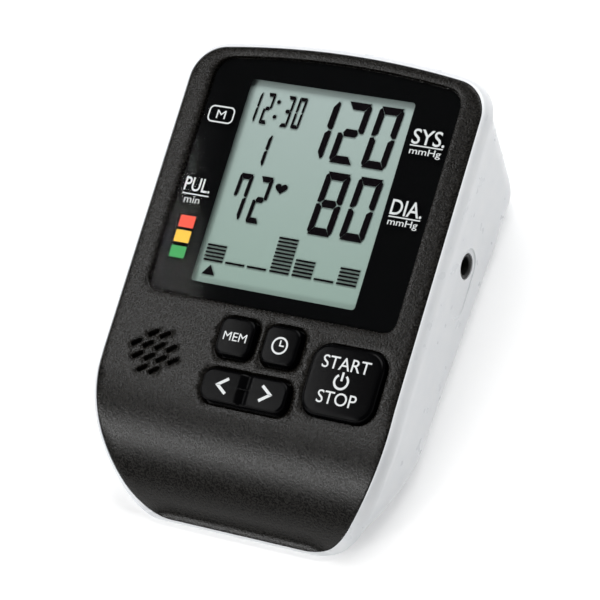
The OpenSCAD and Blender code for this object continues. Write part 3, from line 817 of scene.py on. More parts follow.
def slot_wall(x, f):
    def loop(by):
        shape = rounded_box(SLOT_LENGTH + 2 * by, SLOT_WIDTH + 2 * by, SLOT_WIDTH / 2 + by - 0.01, 6, 2)
        return moved(turned(shape, SLOT_SLANT), x, f)
    return [(loop(0.28), drop(0)), (loop(0.08), drop(0.1)), (loop(0), drop(0.35)),
            (loop(0), underside)]


def window_wall():
    """The recess of the window: an eased edge, a wall, a shelf for the tape and the opening."""
    shelf = boxed(32.2, 37.2, window_outline(0.12))
    steps = ((0.62, 0.0), (0.45, 0.05), (0.28, 0.2), (0.12, 0.5), (0.12, 1.7))
    wall = [(window_outline(by), drop(down)) for by, down in steps]
    return wall + [(shelf, drop(1.7)), (shelf, underside)]


def lid_wall():
    steps = ((0.42, 0.0), (0.26, 0.04), (0.1, 0.16), (0.0, 0.42))
    return [(grown(lid_outline, -by), drop(down)) for by, down in steps] + [(lid_outline, underside)]


walls = [lid_wall(), window_wall()] + [key_wall(name) for name in KEYS]
for row_x, row_f, row_count in SLOT_ROWS:
    for k in range(row_count):
        walls.append(slot_wall(GRILLE[0] + row_x + k * SLOT_PITCH, GRILLE[1] + row_f))
lid = piece_from("textured_lid", *plate(walls, 2.2), sharp=50)
print("lid closed", is_closed(lid.data))
ready(lid, "case", "panel_plastic", textured_black_abs, "front_panel")

# %% [markdown]
# ## The window and the display
# A clear acrylic pane sits in the lid's recess. Its back is printed black round the display's
# opening, so the print is a thin sheet just under the pane. The lit segments and the reflector
# lie in and behind the glass cell. The clear parts here don't bend light, so the segments and
# the film are drawn at the shallower depth at which real glass shows them. The segments still
# throw a soft shadow on the film.

# %% Pane, printed border, cell and reflector
PANE_T = 1.4
VIEW = (60.4, 70.4)


def flat_plate(name, outer, top, bottom, holes=(), edge=0.0, step=4.0):
    """A flat closed plate with an eased upper edge."""
    wall = [(grown(outer, -edge), level(top)), (outer, level(top - edge)), (outer, level(bottom))]
    rims = [[(hole, level(top)), (hole, level(bottom))] for hole in holes]
    return piece_from(name, *plate([wall if edge else wall[1:]] + rims, step), sharp=30)


pane = flat_plate("window_pane", window_outline(0.0), -0.06, -PANE_T, edge=0.35)
ready(pane, "case", "window", acrylic, "window_lens")
view_hole = moved(rounded_box(*VIEW, 1.2, 6, 10), -0.8, 0.35)
border = flat_plate("window_border_print", window_outline(-0.25), -PANE_T - 0.01, -PANE_T - 0.04,
                    [view_hole])
ready(border, "case", "window", mask_ink)
glass = flat_plate("display_cell", rounded_box(66, 76, 0.4), -2.7, -4.5, edge=0.15)
ready(glass, "case", "display_glass", cell_glass, "lcd_cell")
back = flat_plate("display_reflector", rounded_box(65.6, 75.6, 0.4), -3.25, -3.4)
ready(back, "case", "display_film", film, "lcd_reflector")

# %% [markdown]
# ## What the display shows
# A digit is up to seven segments with mitred ends, and a narrow gap stays between two segments.
# One function draws a digit of any size, leaning a little to the right. Marks this thin are flat
# prisms: outlines filled and given a few hundredths of a millimetre of height.

# %% Segments of one digit
DIGITS = {0: "abcdef", 1: "bc", 2: "abged", 3: "abgcd", 7: "abcf", 8: "abcdefg"}
LEAN = math.tan(math.radians(3.2))
SEGMENTS = (-2.9, -2.86)
SHOWN_AT = (-1.55, 0.66)


def digit(number, x, f, w, h, across, up, gap):
    """Outlines of a digit's segments; its level bars are across thick and its upright ones up."""
    mid = h / 2
    shapes = {
        "a": [(gap * 2, h), (w - gap * 2, h), (w - up - gap, h - across), (up + gap, h - across)],
        "d": [(up + gap, across), (w - up - gap, across), (w - gap * 2, 0), (gap * 2, 0)],
        "f": [(0, mid + gap * 2), (0, h - up * 0.6), (up * 0.35, h - up * 0.25), (up, h - across - gap),
              (up, mid + up * 0.55), (up * 0.5, mid + gap)],
        "b": [(w - up, mid + up * 0.55), (w - up, h - across - gap), (w - up * 0.35, h - up * 0.25),
              (w, h - up * 0.6), (w, mid + gap * 2), (w - up * 0.5, mid + gap)],
        "g": [(up * 0.7 + gap, mid), (up + gap * 1.5, mid + across / 2),
              (w - up - gap * 1.5, mid + across / 2), (w - up * 0.7 - gap, mid),
              (w - up - gap * 1.5, mid - across / 2), (up + gap * 1.5, mid - across / 2)],
    }
    shapes["e"] = [(px, h - pf) for px, pf in shapes["f"]]
    shapes["c"] = [(px, h - pf) for px, pf in shapes["b"]]
    return [[(x + px + pf * LEAN, f + pf) for px, pf in shapes[name]] for name in DIGITS[number]]


def prisms(name, shapes, low, top):
    """One piece of flat marks between two levels."""
    lots = [loft([[on_face(x, f, n) for x, f in shape] for n in (low, top)]) for shape in shapes]
    return joined(name, lots, sharp=20)


# %% [markdown]
# The display shows two large readings, a pulse reading, the time and a memory number, with a row
# of bars below. A table gives each number's place and size. Bars are stacks of equal strips, and
# the heart is its well-known curve.

# %% Numbers, bars and marks
READINGS = (
    # number and x of each digit, f, then width, height, level and upright thickness, gap
    (((1, -5.9), (2, 5.5), (0, 17.2)), 11.5, (8.9, 21.2, 2.6, 2.2, 0.2)),
    (((8, 5.4), (0, 17.2)), -13.2, (8.9, 21.6, 2.6, 2.2, 0.2)),
    (((7, -24.8), (2, -17.3)), -13.0, (4.9, 16.2, 1.9, 1.25, 0.13)),
    (((1, -22.2),), 6.2, (4.9, 11.4, 1.6, 1.1, 0.13)),
    (((1, -28.3), (2, -23.5), (3, -15.9), (0, -11.6)), 20.6, (2.9, 10.9, 1.3, 0.75, 0.1)),
)
BARS = ((-28.0, 5), (-19.8, 1), (-11.7, 1), (-3.3, 10), (4.9, 5), (13.0, 1), (21.2, 5))
BAR_FOOT, BAR_PITCH, BAR_W, BAR_T = -27.75, 1.26, 7.15, 0.66
COLON_X, COLON_FS = -18.3, (23.6, 28.8)


def heart_outline(x, f):
    outline_points = []
    for i in range(40):
        t = math.tau * i / 40
        wide = 16 * math.sin(t) ** 3
        tall = 13 * math.cos(t) - 5 * math.cos(2 * t) - 2 * math.cos(3 * t) - math.cos(4 * t)
        outline_points.append((x + 0.14 * wide, f + 0.125 * tall))
    return outline_points


def display_shapes():
    shapes = []
    for numbers, f, size in READINGS:
        for number, x in numbers:
            shapes += digit(number, x, f, *size)
    shapes += [moved(arc(0, 0, 0.7, 0, 330, 11), COLON_X, f) for f in COLON_FS]
    for x, count in BARS:
        for k in range(count):
            foot = BAR_FOOT + k * BAR_PITCH
            shapes.append([(x, foot), (x + BAR_W, foot), (x + BAR_W, foot + BAR_T), (x, foot + BAR_T)])
    shapes.append([(-27.2, -32.4), (-22.3, -32.4), (-24.7, -29.0)])
    shapes.append(heart_outline(-8.0, 0.1))
    return shapes


shapes = [moved(shape, *SHOWN_AT) for shape in display_shapes()]
lit = prisms("display_segments", shapes, *SEGMENTS)
ready(lit, "case", "display_film", segment_ink)
print(len(shapes), "segments and marks")

# %% [markdown]
# ## Printed words and signs
# Words come from Blender's own font: a text object is filled and given a height, turned into a
# mesh, scaled to its printed size and only then moved to its place on the face or on a key.

# %% Place text and drawn marks
PRINT_T = 0.03


def word(text, x, f, w, h, n=0.0, surface=None, bold=0.0):
    """Points and faces of a word whose box has its middle at (x, f) and measures w by h."""
    curve = bpy.data.curves.new(text, "FONT")
    curve.body = text
    curve.size = 1.0
    curve.extrude = 0.5
    curve.offset = bold
    curve.resolution_u = 4
    holder = linked(text, curve)
    mesh = mesh_of(holder)
    xs, ys = [v.co.x for v in mesh.vertices], [v.co.y for v in mesh.vertices]
    points = []
    for v in mesh.vertices:
        px = x + w * ((v.co.x - min(xs)) / (max(xs) - min(xs)) - 0.5)
        pf = f + h * ((v.co.y - min(ys)) / (max(ys) - min(ys)) - 0.5)
        base = surface(px, pf) if surface else n
        points.append(on_face(px, pf, base + PRINT_T * (0.5 + v.co.z)))
    faces = [tuple(p.vertices) for p in mesh.polygons]
    bpy.data.objects.remove(holder)
    return points, faces


def ribbon(path, width, n, surface=None, closed=False):
    """Points and faces of one joined stroke with a constant width."""
    left, right = [], []
    count = len(path)
    for i in range(count):
        before = path[i - 1] if i or closed else path[i]
        after = path[(i + 1) % count] if i < count - 1 or closed else path[i]
        dx, df = after[0] - before[0], after[1] - before[1]
        size = math.hypot(dx, df)
        a = (path[i][0] - path[i - 1][0], path[i][1] - path[i - 1][1]) if i or closed else (dx, df)
        turn = abs(a[0] * dx + a[1] * df) / (math.hypot(*a) * size)
        half = width / 2 / max(turn, 0.5)
        left.append((path[i][0] - df / size * half, path[i][1] + dx / size * half))
        right.append((path[i][0] + df / size * half, path[i][1] - dx / size * half))
    rings = []
    for k in range(count):
        cross = []
        for (x, f), lift in ((left[k], 0), (right[k], 0), (right[k], 1), (left[k], 1)):
            base = surface(x, f) if surface else n
            cross.append(on_face(x, f, base + PRINT_T * lift))
        rings.append(cross)
    if closed:
        return loft(rings + rings[:1], False, False)
    return loft(rings)


# %% [markdown]
# The window's words name the readings and their units. They stand beside the display on the top of
# the pane, pale grey, each unit under a line. The three coloured marks are the scale of the bars.

# %% Prints on the window
ON_PANE = -0.05
UNDERLINE = 0.42
WORDS = (
    # text, middle x and f, width, height, boldness
    ("M", -37.7, 21.4, 3.4, 2.9, 0.0),
    ("PUL.", -38.1, -3.5, 9.8, 4.7, 0.008),
    ("min", -38.7, -8.7, 5.8, 2.3, 0.0),
    ("SYS.", 38.2, 24.3, 11.8, 5.2, 0.008),
    ("mmHg", 38.2, 19.1, 11.2, 2.9, 0.006),
    ("DIA.", 37.8, 0.2, 11.3, 5.2, 0.008),
    ("mmHg", 37.7, -5.0, 10.6, 2.9, 0.006),
)
LINES = ((-43.0, -33.0, -6.85), (32.2, 43.9, 21.2), (32.2, 43.4, -3.0))
MARKS = (("red_mark", -14.2, -18.3, red_ink), ("yellow_mark", -19.3, -23.4, yellow_ink),
         ("green_mark", -24.7, -28.7, green_ink))

labels = [word(text, x, f, w, h, ON_PANE, bold=bold) for text, x, f, w, h, bold in WORDS]
labels += [ribbon([(start, f), (stop, f)], UNDERLINE, ON_PANE) for start, stop, f in LINES]
labels.append(ribbon(moved(rounded_box(9.2, 5.4, 1.6, 6, 3), -37.7, 21.4), 0.5, ON_PANE, closed=True))
ready(joined("window_words", labels), "case", "window", label_ink)
for name, top, bottom, material in MARKS:
    mark = moved(rounded_box(5.7, top - bottom, 0.25, 3, 2), -37.95, (top + bottom) / 2)
    ready(prisms(name, [mark], ON_PANE, ON_PANE + PRINT_T), "case", "window", material)

# %% [markdown]
# ## The keys
# Each key is a loft of rounded outlines: a flange under the lid that keeps it in, a straight wall,
# a soft edge and a slightly crowned top. The rocker has a shallow valley across its middle, where
# the thumb finds the change from one end to the other.

# %% Key tops
RISE = 2.0
CROWN = {"mem": 0.22, "clock": 0.22, "rocker": 0.15, "start": 0.45}
EDGE = {"mem": 0.9, "clock": 0.9, "rocker": 0.9, "start": 1.3}
FLANGE = {"mem": -3.6, "clock": -3.6, "rocker": -3.6, "start": -4.6}


def key_surface(name):
    """The N of a key's top at any (x, f)."""
    (cx, cf), (w, h), _ = KEYS[name]
    top = RISE - (0.25 if name == "rocker" else 0.0) - CROWN[name] * 0.5

    def surface(x, f):
        sx, sf = (x - cx) / (w / 2), (f - cf) / (h / 2)
        n = top + CROWN[name] * (1 - min(sx * sx + sf * sf, 2.0) / 2)
        if name == "rocker":
            n -= 0.75 * max(1 - abs(x - cx) / 2.1, 0.0) ** 1.5
            n += 0.25 * min(abs(sx), 1.0)
        return n
    return surface


def key_piece(name):
    """A key's skin from its flange up to the middle of its top."""
    surface, low = key_surface(name), FLANGE[name]
    (cx, cf), (w, h), r = KEYS[name]
    e = EDGE[name]
    side = 44 if name == "rocker" else 12

    def ring(by, height):
        shape = moved(rounded_box(w + 2 * by, h + 2 * by, max(r + by, 0.6), 10, side), cx, cf)
        return [on_face(x, f, height(x, f)) for x, f in shape]

    rings = [ring(1.2, lambda x, f: low), ring(1.2, lambda x, f: low + 1.2),
             ring(0, lambda x, f: low + 1.2), ring(0, lambda x, f: surface(x, f) - e)]
    for turn in (12, 26, 40, 55, 70, 82, 90):
        a = math.radians(turn)
        rings.append(ring(-e * (1 - math.cos(a)), lambda x, f: surface(x, f) - e * (1 - math.sin(a))))
    edge = moved(rounded_box(w - 2 * e, h - 2 * e, max(r - e, 0.6), 10, side), cx, cf)
    for share in (0.9, 0.75, 0.55, 0.35, 0.15, 0.02):
        wide = 1 if name == "rocker" else share
        loop = [(cx + (x - cx) * wide, cf + (f - cf) * share) for x, f in edge]
        rings.append([on_face(x, f, surface(x, f)) for x, f in loop])
    return piece_from(name + "_key_top", *loft(rings), sharp=50)


for name in KEYS:
    ready(key_piece(name), name + "_button", "key_plastic", satin_black_abs, name + "_key")

# %% [markdown]
# The signs are pad printed, so they follow the crown of each key. Every point of a sign takes its
# height from the key's own surface and starts a little under it, which leaves no gap.

# %% Signs on the keys


def on_key(name):
    surface = key_surface(name)
    return lambda x, f: surface(x, f) - 0.005


def drawn(name, path, width, closed=False):
    return ribbon(path, width, 0, on_key(name), closed)


def arrow(x, f, way):
    """An arrow head with its tip away from way, 3.5 mm wide and 5 mm high."""
    return drawn("rocker", [(x + way * 1.75, f + 2.5), (x - way * 1.75, f), (x + way * 1.75, f - 2.5)], 1.0)


signs = {
    "mem_sign": [word("MEM", -6.9, -51.3, 8.4, 2.8, surface=on_key("mem"))],
    "clock_sign": [
        drawn("clock", moved(arc(0, 0, 2.6, 0, 350, 35), 9.5, -51.3), 0.62, closed=True),
        drawn("clock", [(9.5, -49.5), (9.5, -51.3), (11.0, -51.3)], 0.5),
    ],
    "rocker_signs": [arrow(-6.3, -67.4, 1), arrow(9.5, -67.4, -1)],
    "start_signs": [
        word("START", 34.2, -53.1, 16.9, 4.2, surface=on_key("start"), bold=0.003),
        word("STOP", 34.2, -64.4, 13.8, 4.2, surface=on_key("start"), bold=0.003),
        drawn("start", moved(arc(0, 0, 2.35, 125, 415, 29), 34.1, -58.8), 0.75),
        drawn("start", [(34.1, -55.7), (34.1, -58.6)], 0.75),
    ],
}
for name, marks in signs.items():
    ready(joined(name, marks), name.split("_")[0] + "_button", "key_plastic", key_ink)

# %% [markdown]
# ## Feet, screws and springs
# What repeats is made by Geometry Nodes. One tree puts a turned shape on each point of a small
# mesh, and it makes the feet and the screws. Another bends a wire into the tapering coil that
# presses on a cell. Both end as one plain mesh for each body.

# %% A node tree with named inputs
def node_tree(name, inputs):
    """An empty tree with its geometry sockets and the given inputs: (tree, input node, output node)."""
    tree = bpy.data.node_groups.new(name, "GeometryNodeTree")
    tree.interface.new_socket("Geometry", in_out="INPUT", socket_type="NodeSocketGeometry")
    tree.interface.new_socket("Geometry", in_out="OUTPUT", socket_type="NodeSocketGeometry")
    for label, kind in inputs.items():
        tree.interface.new_socket(label, in_out="INPUT", socket_type="NodeSocket" + kind)
    return tree, tree.nodes.new("NodeGroupInput"), tree.nodes.new("NodeGroupOutput")


def grown_from(tree, points, name, **values):
    """Runs a tree on some points and returns its result as a plain piece."""
    mesh = bpy.data.meshes.new(name)
    mesh.from_pydata([tuple(Vector(p) * MM) for p in points], [], [])
    piece = linked(name, mesh)
    modifier = piece.modifiers.new("made", "NODES")
    modifier.node_group = tree
    sockets = {s.name: s.identifier for s in tree.interface.items_tree if s.in_out == "INPUT"}
    for label, value in values.items():
        modifier[sockets[label.replace("_", " ")]] = value
    return smoothed(applied(piece), 40)


def coat(tree, instances, entry, exit_node):
    """Ends a tree: its copies are made real and get the material."""
    real = add(tree, "GeometryNodeRealizeInstances", links={"Geometry": instances})
    coated = add(tree, "GeometryNodeSetMaterial",
                 links={"Geometry": real.outputs["Geometry"], "Material": entry.outputs["Material"]})
    tree.links.new(coated.outputs["Geometry"], exit_node.inputs["Geometry"])


def copied(tree, shape, points, turn=None):
    """Copies of a shape on points; turn is the socket with their rotation."""
    links = {"Points": points, "Instance": shape}
    if turn:
        links["Rotation"] = turn
    return add(tree, "GeometryNodeInstanceOnPoints", links=links).outputs["Instances"]


def copies_tree():
    tree, entry, exit_node = node_tree("copies_on_points", {
        "Template": "Object", "Turn": "Rotation", "Material": "Material"})
    shape = add(tree, "GeometryNodeObjectInfo", links={"Object": entry.outputs["Template"]})
    spread = copied(tree, shape.outputs["Geometry"], entry.outputs["Geometry"], entry.outputs["Turn"])
    coat(tree, spread, entry, exit_node)
    return tree


def coil_tree():
    tree, entry, exit_node = node_tree("tapered_coil", {
        "Turns": "Float", "Root Radius": "Float", "Tip Radius": "Float", "Length": "Float",
        "Wire Radius": "Float", "Turn": "Rotation", "Material": "Material"})
    path = add(tree, "GeometryNodeCurveSpiral", {"Resolution": 28},
               {"Rotations": entry.outputs["Turns"], "Start Radius": entry.outputs["Root Radius"],
                "End Radius": entry.outputs["Tip Radius"], "Height": entry.outputs["Length"]})
    wire = add(tree, "GeometryNodeCurvePrimitiveCircle", {"Resolution": 10},
               {"Radius": entry.outputs["Wire Radius"]})
    coil = add(tree, "GeometryNodeCurveToMesh", {"Fill Caps": True},
               {"Curve": path.outputs["Curve"], "Profile Curve": wire.outputs["Curve"]})
    spread = copied(tree, coil.outputs["Mesh"], entry.outputs["Geometry"], entry.outputs["Turn"])
    coat(tree, spread, entry, exit_node)
    return tree


copies, coil = copies_tree(), coil_tree()
print("trees", copies.name, coil.name)

# %% [markdown]
# A foot is a rubber disc with an eased edge and a slight hollow, so it grips like a cup. The screws
# are pan heads with a cross recess, and their thread is drawn as rings, since its helix can't be
# seen down in the post. Two are short at the front and two are long under the high rear.

# %% Feet and case screws
foot_places = [(-34, -68, 0), (34, -68, 0), (-30, 58, 0), (30, 58, 0)]
FOOT_R = (high("rubber_feet").x - low("rubber_feet").x) / 2 - foot_places[1][0]
FOOT_H = high("rubber_feet").z
foot_edge = [(FOOT_R - 0.7 * (1 - math.sin(math.radians(a))), 0.7 * (1 - math.cos(math.radians(a))))
             for a in (0, 25, 50, 70, 90)]
foot = piece_from("foot_template", *lathe(
    [(0.4, 0.35), (FOOT_R - 1.9, 0.35), (FOOT_R - 1.5, 0.0)] + foot_edge[1:] + [(FOOT_R, FOOT_H)],
    (0, 0, 0), (0, 0, 1)))
feet = grown_from(copies, foot_places, "rubber_feet_domed", Template=foot, Material=black_rubber)
bpy.data.objects.remove(foot)
ready(feet, "case", "rubber", black_rubber, "rubber_feet")


def screw_template(shank):
    """A pan head with a cross recess, facing down, over a shank whose thread is rings."""
    head = [(0.3, 0), (1.5, 0.0), (2.1, 0.25), (2.45, 0.8), (2.5, 1.3), (2.5, 1.9), (1.25, 1.9)]
    pitch = 0.8
    turns = int(shank / pitch)
    ridges = [(1.25 if k % 2 else 1.0, 2.1 + k * pitch / 2) for k in range(2 * turns)]
    profile = head + ridges + [(0.4, shank + 1.9)]
    body = piece_from("screw_template", *lathe(profile, (0, 0, 0), (0, 0, 1), 28))
    blades = [box_block("blade", (-a, a), (-b, b), (-1, 1.1)) for a, b in ((1.35, 0.32), (0.32, 1.35))]
    return cut(body, blades)


screw_low = low("case_screws").z
for shank, rows in ((10.6, slice(0, 2)), (21.5, slice(2, 4))):
    template = screw_template(shank)
    points = [(x, y, screw_low) for x, y in screw_places[rows]]
    group = grown_from(copies, points, "case_screws_%d" % (shank + 2), Template=template,
                       Material=plated_steel)
    bpy.data.objects.remove(template)
    ready(group, "case", "screw_steel", plated_steel, "case_screws")

# %% [markdown]
# Each cell is pressed by a coil of plated wire that tapers to the middle of the cell's flat end, so
# it can close flat. The cells lie head to tail, and so the springs stand at alternate ends.

# %% Contact springs
cell_xs = [middle("cell_%d" % k).x for k in (1, 2, 3, 4)]
cell_z = middle("cell_1").z
spring_front, spring_rear = low("battery_springs").y, high("battery_springs").y
WIRE_R = 0.3
SPRING_LENGTH = low("cell_1").y - spring_front - 2 * WIRE_R
for name, start, turn, xs in (("springs_front", spring_front + WIRE_R, -90, cell_xs[0::2]),
                              ("springs_rear", spring_rear - WIRE_R, 90, cell_xs[1::2])):
    points = [(x, start, cell_z) for x in xs]
    springs = grown_from(coil, points, name, Turns=4.5, Root_Radius=4.2 * MM, Tip_Radius=2.6 * MM,
                         Length=SPRING_LENGTH * MM, Wire_Radius=WIRE_R * MM,
                         Turn=(math.radians(turn), 0, 0), Material=nickel)
    ready(springs, "case", "spring_steel", nickel, "battery_springs")

# %% [markdown]
# ## Cells, door and sockets
# These are turned or lofted like the real ones. A cell is a steel can in a printed sleeve that
# curls over both ends. The door is a plate with eased edges, a hinge barrel and a finger pad
# with ribs. The two sockets have a lead-in at the mouth.

# %% Battery cells
sleeve = grained("printed_cell_sleeve", "#1C2A3A", "#22344A", 0.8, (0.3, 0.42), 0.05)
for k in (1, 2, 3, 4):
    node = "cell_%d" % k
    forward = k % 2 == 0
    start = (middle(node).x, low(node).y if forward else high(node).y, cell_z)
    along = (0, 1 if forward else -1, 0)
    end = high(node).y - low(node).y
    can = [(0.3, 0.0), (2.0, 0.02), (2.55, 0.3), (2.7, 1.2), (3.6, 1.35), (5.6, 1.4), (6.0, 1.7),
           (6.0, end - 0.4), (4.2, end - 0.25), (4.0, end - 0.02), (0.3, end)]
    wrap = [(5.9, 1.9), (5.9, 1.36), (6.6, 1.32), (7.1, 1.6), (7.24, 2.2), (7.24, end - 0.9),
            (7.05, end - 0.4), (6.5, end - 0.12), (5.6, end - 0.12), (5.6, end - 0.5),
            (6.8, end - 1.0), (6.8, 2.2)]
    steel = piece_from(node + "_can", *lathe(can, start, along))
    ready(steel, "case", "cell_wrap", nickel, node)
    jacket = piece_from(node + "_sleeve", *lathe(wrap, start, along, closed=True))
    ready(jacket, "case", "cell_wrap", sleeve, node)

# %% [markdown]
# The door is one moulding: the plate, a tab with a catch that snaps behind the edge of the mouth,
# and a barrel with pins that turn in the case. Its outline is a polygon whose corners are rounded
# one by one, and ribs on the tab give the thumb a grip.

# %% Battery door
door_low, door_high = low("battery_door"), high("battery_door")
hinge = Vector(joints["door_hinge"]["pos_m"]) / MM
DOOR_T = 2.0


def door_outline():
    left, right, front, rear = door_low.x + 1.8, door_high.x - 1.8, -22.0, hinge.y
    tab_left, tab_right, tab = -24.0, -10.0, door_low.y
    corners = [((right, rear), 0.3), ((left, rear), 0.3), ((left, front), 1.2), ((tab_left, front), 0.0),
               ((tab_left, tab), 1.6), ((tab_right, tab), 1.6), ((tab_right, front), 0.0),
               ((right, front), 1.2)]
    points = []
    for k, (corner, r) in enumerate(corners):
        if not r:
            points.append(corner)
            continue
        here = Vector(corner)
        to_before = (Vector(corners[k - 1][0]) - here).normalized()
        to_after = (Vector(corners[(k + 1) % len(corners)][0]) - here).normalized()
        for i in range(7):
            s = i / 6
            points.append(tuple(here + to_before * r * (1 - s) ** 2 + to_after * r * s ** 2))
    return points


def door_parts():
    """The plate, the hinge barrel, the pins and the catch of the door."""
    shape, run = door_outline(), door_high.x - door_low.x
    plate_levels = ((UNDER_Z, 0.5), (UNDER_Z + 0.14, 0.16), (UNDER_Z + 0.45, 0.0), (UNDER_Z + DOOR_T, 0.0))
    rings = [[Vector((x, y, z)) * MM for x, y in grown(shape, -by)] for z, by in plate_levels]
    barrel = lathe([(0.7, 0.0), (0.97, 0.3), (0.97, run - 3.9), (0.7, run - 3.6)],
                   (door_low.x + 1.8, hinge.y, hinge.z), (1, 0, 0), 24)
    pin = lathe([(0.45, 0), (0.6, 0.2), (0.6, run - 0.2), (0.45, run)],
                (door_low.x, hinge.y, hinge.z), (1, 0, 0), 20)
    left, right, front = -23.6, -10.4, -26.95
    catch = []
    for z, t in ((UNDER_Z + 1.6, 1.1), (UNDER_Z + 2.9, 1.1), (UNDER_Z + 3.5, 0.5)):
        corners = ((left, front), (right, front), (right, front + t), (left, front + t))
        catch.append([Vector((x, y, z)) * MM for x, y in corners])
    return [loft(rings), barrel, pin, loft(catch)]


def rib_tree():
    """Ribs in a row: their count, pitch, length and radius are inputs."""
    tree, entry, exit_node = node_tree("rib_row", {
        "Count": "Int", "Pitch": "Vector", "Length": "Float", "Radius": "Float", "Turn": "Rotation",
        "Material": "Material"})
    row = add(tree, "GeometryNodeMeshLine",
              links={"Count": entry.outputs["Count"], "Offset": entry.outputs["Pitch"]})
    rib = add(tree, "GeometryNodeMeshCylinder", {"Vertices": 16},
              {"Radius": entry.outputs["Radius"], "Depth": entry.outputs["Length"]})
    rows = copied(tree, rib.outputs["Mesh"], row.outputs["Mesh"], entry.outputs["Turn"])
    coat(tree, copied(tree, rows, entry.outputs["Geometry"]), entry, exit_node)
    return tree


door = joined("battery_door_plate", door_parts())
ready(door, "door", "white_case", white_abs, "battery_door")
RIB_R = 0.42
ribs = grown_from(rib_tree(), [(-17.0, -25.4, UNDER_Z + RIB_R)], "door_grip_ribs", Count=5,
                  Pitch=(0, 1.5 * MM, 0), Length=9.6 * MM, Radius=RIB_R * MM,
                  Turn=(0, math.radians(90), 0), Material=white_abs)
ready(ribs, "door", "white_case", white_abs, "battery_door")

# %% [markdown]
# Both sockets are turned profiles swept round their own axis. The power socket is a tube with a
# rounded mouth and a floor that holds its pin. The air socket narrows from its mouth to a barb,
# which the silicone hose is pushed over.

# %% Sockets
power_start = socket_low.x
depth = socket_high.x - power_start
MOUTH_R, MOUTH_DEPTH, BORE_R = 3.0, 3.2, 2.8
power = [(BORE_R, 2.0), (BORE_R, depth - MOUTH_DEPTH), (MOUTH_R, depth - MOUTH_DEPTH),
         (MOUTH_R, depth - 0.5), (MOUTH_R + 0.35, depth - 0.08), (MOUTH_R + 0.6, depth), (4.0, depth),
         (4.15, depth - 0.2), (4.15, 11.7), (4.45, 11.6), (4.45, 0.0), (1.3, 0.0), (1.3, 2.0)]
power_body = lathe(power, (power_start, socket.y, socket.z), (1, 0, 0), closed=True)
ready(piece_from("power_socket_body", *power_body), "case", "black_plastic", dark_plastic,
      "power_socket")
AIR_R = 2.6
nozzle = [(AIR_R + 0.5, 0.0), (AIR_R + 0.12, 0.25), (AIR_R, 0.7), (AIR_R, 5.0), (AIR_R - 0.2, 5.2),
          (AIR_R - 0.2, 12.0), (1.2, 12.0), (1.2, 19.0), (1.9, 19.0), (2.2, 18.4), (2.2, 13.5),
          (5.0, 13.5), (5.0, 4.4), (6.5, 4.4), (6.5, 2.8), (5.0, 2.8), (5.0, 0.4), (4.6, 0.0)]
air_body = lathe(nozzle, (low("air_socket").x, air.y, air.z), (1, 0, 0), closed=True)
ready(piece_from("air_socket_body", *air_body), "case", "white_plastic", natural_plastic, "air_socket")

# %% [markdown]
# ## The finish of the parts that keep their CAD shape
# The record names a material slot for every node. The parts inside the case already have the
# right shape, so each gets the finish of its slot.

# %% Finish the carried-over nodes
FINISH = {
    "panel_plastic": textured_black_abs, "white_case": white_abs, "rubber": black_rubber,
    "screw_steel": plated_steel, "window": mask_ink, "black_tape": foam_tape, "display_glass": cell_glass,
    "display_film": film, "white_plastic": natural_plastic, "key_plastic": satin_black_abs,
    "black_plastic": dark_plastic, "circuit_board": solder_mask, "bare_steel": plated_steel,
    "cone_paper": paper_cone, "cell_wrap": dark_plastic, "spring_steel": nickel, "pin_brass": bright_pin,
    "clear_hose": silicone, "magnet": ferrite, "copper_winding": copper,
}
slots = {part["node"]: part["material_slot"] for part in frame["record"]["subparts"]}
for node, thing in frame["nodes"].items():
    thing.data.materials.clear()
    thing.data.materials.append(FINISH[slots[node]])
print(len(slots), "nodes finished from", len(set(slots.values())), "slots")

# %% [markdown]
# ## Stage, light and camera
# The object lies on a white floor that hides nothing from below. Two narrow strips draw the long
# highlights on the lid, a large lamp at the rear lights the case and throws the shadow forward,
# and weak fills open the sides. The camera is a long lens above the right side, rolled a little.

# %% Floor, lamps and camera
FLOOR_HALF = 3.0
FLOOR_GLOW = 0.26
WORLD_GLOW = 0.07
LAMP_DISTANCE = 1.2
LAMPS = (
    # name, direction from the face as (x, f, n), length, width, watts
    ("top_strip", (-0.5, -0.03, 0.87), 1.0, 0.09, 4.0),
    ("front_strip", (-0.42, -0.68, 0.58), 1.0, 0.14, 6.5),
    ("rear_key", (0.1, 0.74, 0.67), 1.0, 0.6, 13.0),
    ("right_fill", (0.98, 0.0, 0.15), 0.8, 0.6, 1.0),
    ("left_fill", (-0.98, 0.1, 0.1), 0.8, 0.5, 2.0),
)
LAMP_AIM = (0.0, -30.0)
CAMERA_PLACE = (456.4, -224.6, 816.0)
CAMERA_AIM = (10.57, -35.06)
CAMERA_ROLL = 16.885


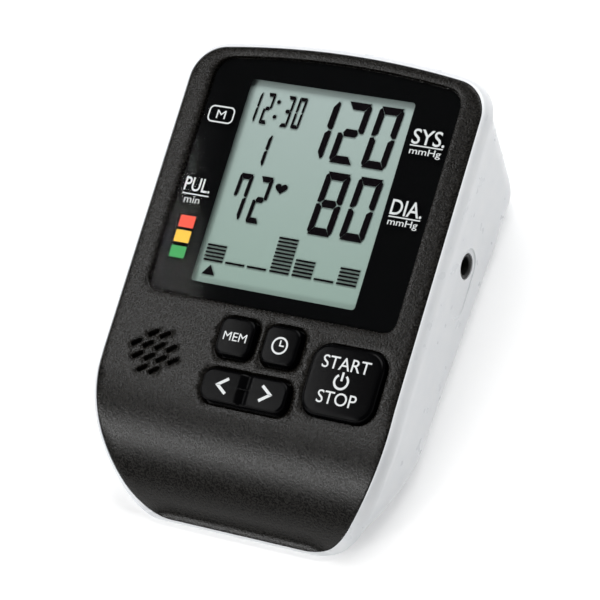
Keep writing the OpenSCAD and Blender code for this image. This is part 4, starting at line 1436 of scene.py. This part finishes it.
def stage_floor():
    """A wide white floor that can't be seen from its underside."""
    corners = ((-1, -1), (1, -1), (1, 1), (-1, 1))
    mesh = bpy.data.meshes.new("floor")
    mesh.from_pydata([(x * FLOOR_HALF, y * FLOOR_HALF, 0.0) for x, y in corners], [], [(0, 1, 2, 3)])
    floor = linked("floor", mesh)
    material, shader = new_material("pale_floor", Base_Color=srgb("#F4F4F4"), Roughness=0.9,
                                    Emission_Color=srgb("#FFFFFF"), Emission_Strength=FLOOR_GLOW)
    tree = material.node_tree
    below = add(tree, "ShaderNodeNewGeometry").outputs["Backfacing"]
    unseen = add(tree, "ShaderNodeBsdfTransparent").outputs["BSDF"]
    either = add(tree, "ShaderNodeMixShader", links={0: below, 1: shader.outputs["BSDF"], 2: unseen})
    tree.links.new(either.outputs["Shader"], tree.nodes["Material Output"].inputs["Surface"])
    floor.data.materials.append(material)


def softbox(name, direction, length, width, watts):
    """A rectangular lamp that shines on the face from a direction in face coordinates."""
    light = bpy.data.lights.new(name, "AREA")
    light.shape = "RECTANGLE"
    light.size, light.size_y, light.energy = length, width, watts
    lamp = linked(name, light)
    x, f, n = direction
    away = (RIGHT * x + UP_FACE * f + OUT * n).normalized()
    lamp.location = on_face(*LAMP_AIM) + away * LAMP_DISTANCE
    lamp.rotation_mode = "QUATERNION"
    lamp.rotation_quaternion = away.to_track_quat("Z", "Y")


def look_at_face():
    """A long lens at the place and roll that the object is shown from."""
    data = bpy.data.cameras.new("camera")
    data.lens, data.sensor_width = 180.0, 36.0
    data.clip_start, data.clip_end = 0.05, 20.0
    camera = linked("camera", data)
    camera.location = on_face(*CAMERA_PLACE)
    back = (camera.location - on_face(*CAMERA_AIM)).normalized()
    up = (UP_FACE - back * UP_FACE.dot(back)).normalized()
    roll_angle = math.radians(CAMERA_ROLL)
    top = up * math.cos(roll_angle) - up.cross(back) * math.sin(roll_angle)
    right = top.cross(back)
    matrix = camera.matrix_world
    for row in range(3):
        matrix[row][0], matrix[row][1], matrix[row][2] = right[row], top[row], back[row]
    camera.matrix_world = matrix
    camera.location = on_face(*CAMERA_PLACE)
    bpy.context.scene.camera = camera


stage_floor()
for lamp in LAMPS:
    softbox(*lamp)
world = bpy.data.worlds.new("studio")
world.use_nodes = True
world.node_tree.nodes["Background"].inputs["Color"].default_value = srgb("#FFFFFF")
world.node_tree.nodes["Background"].inputs["Strength"].default_value = WORLD_GLOW
bpy.context.scene.world = world
bpy.context.scene.view_settings.view_transform = "Standard"
look_at_face()
print(len(LAMPS), "lamps; the camera is at", bpy.context.scene.camera.location)
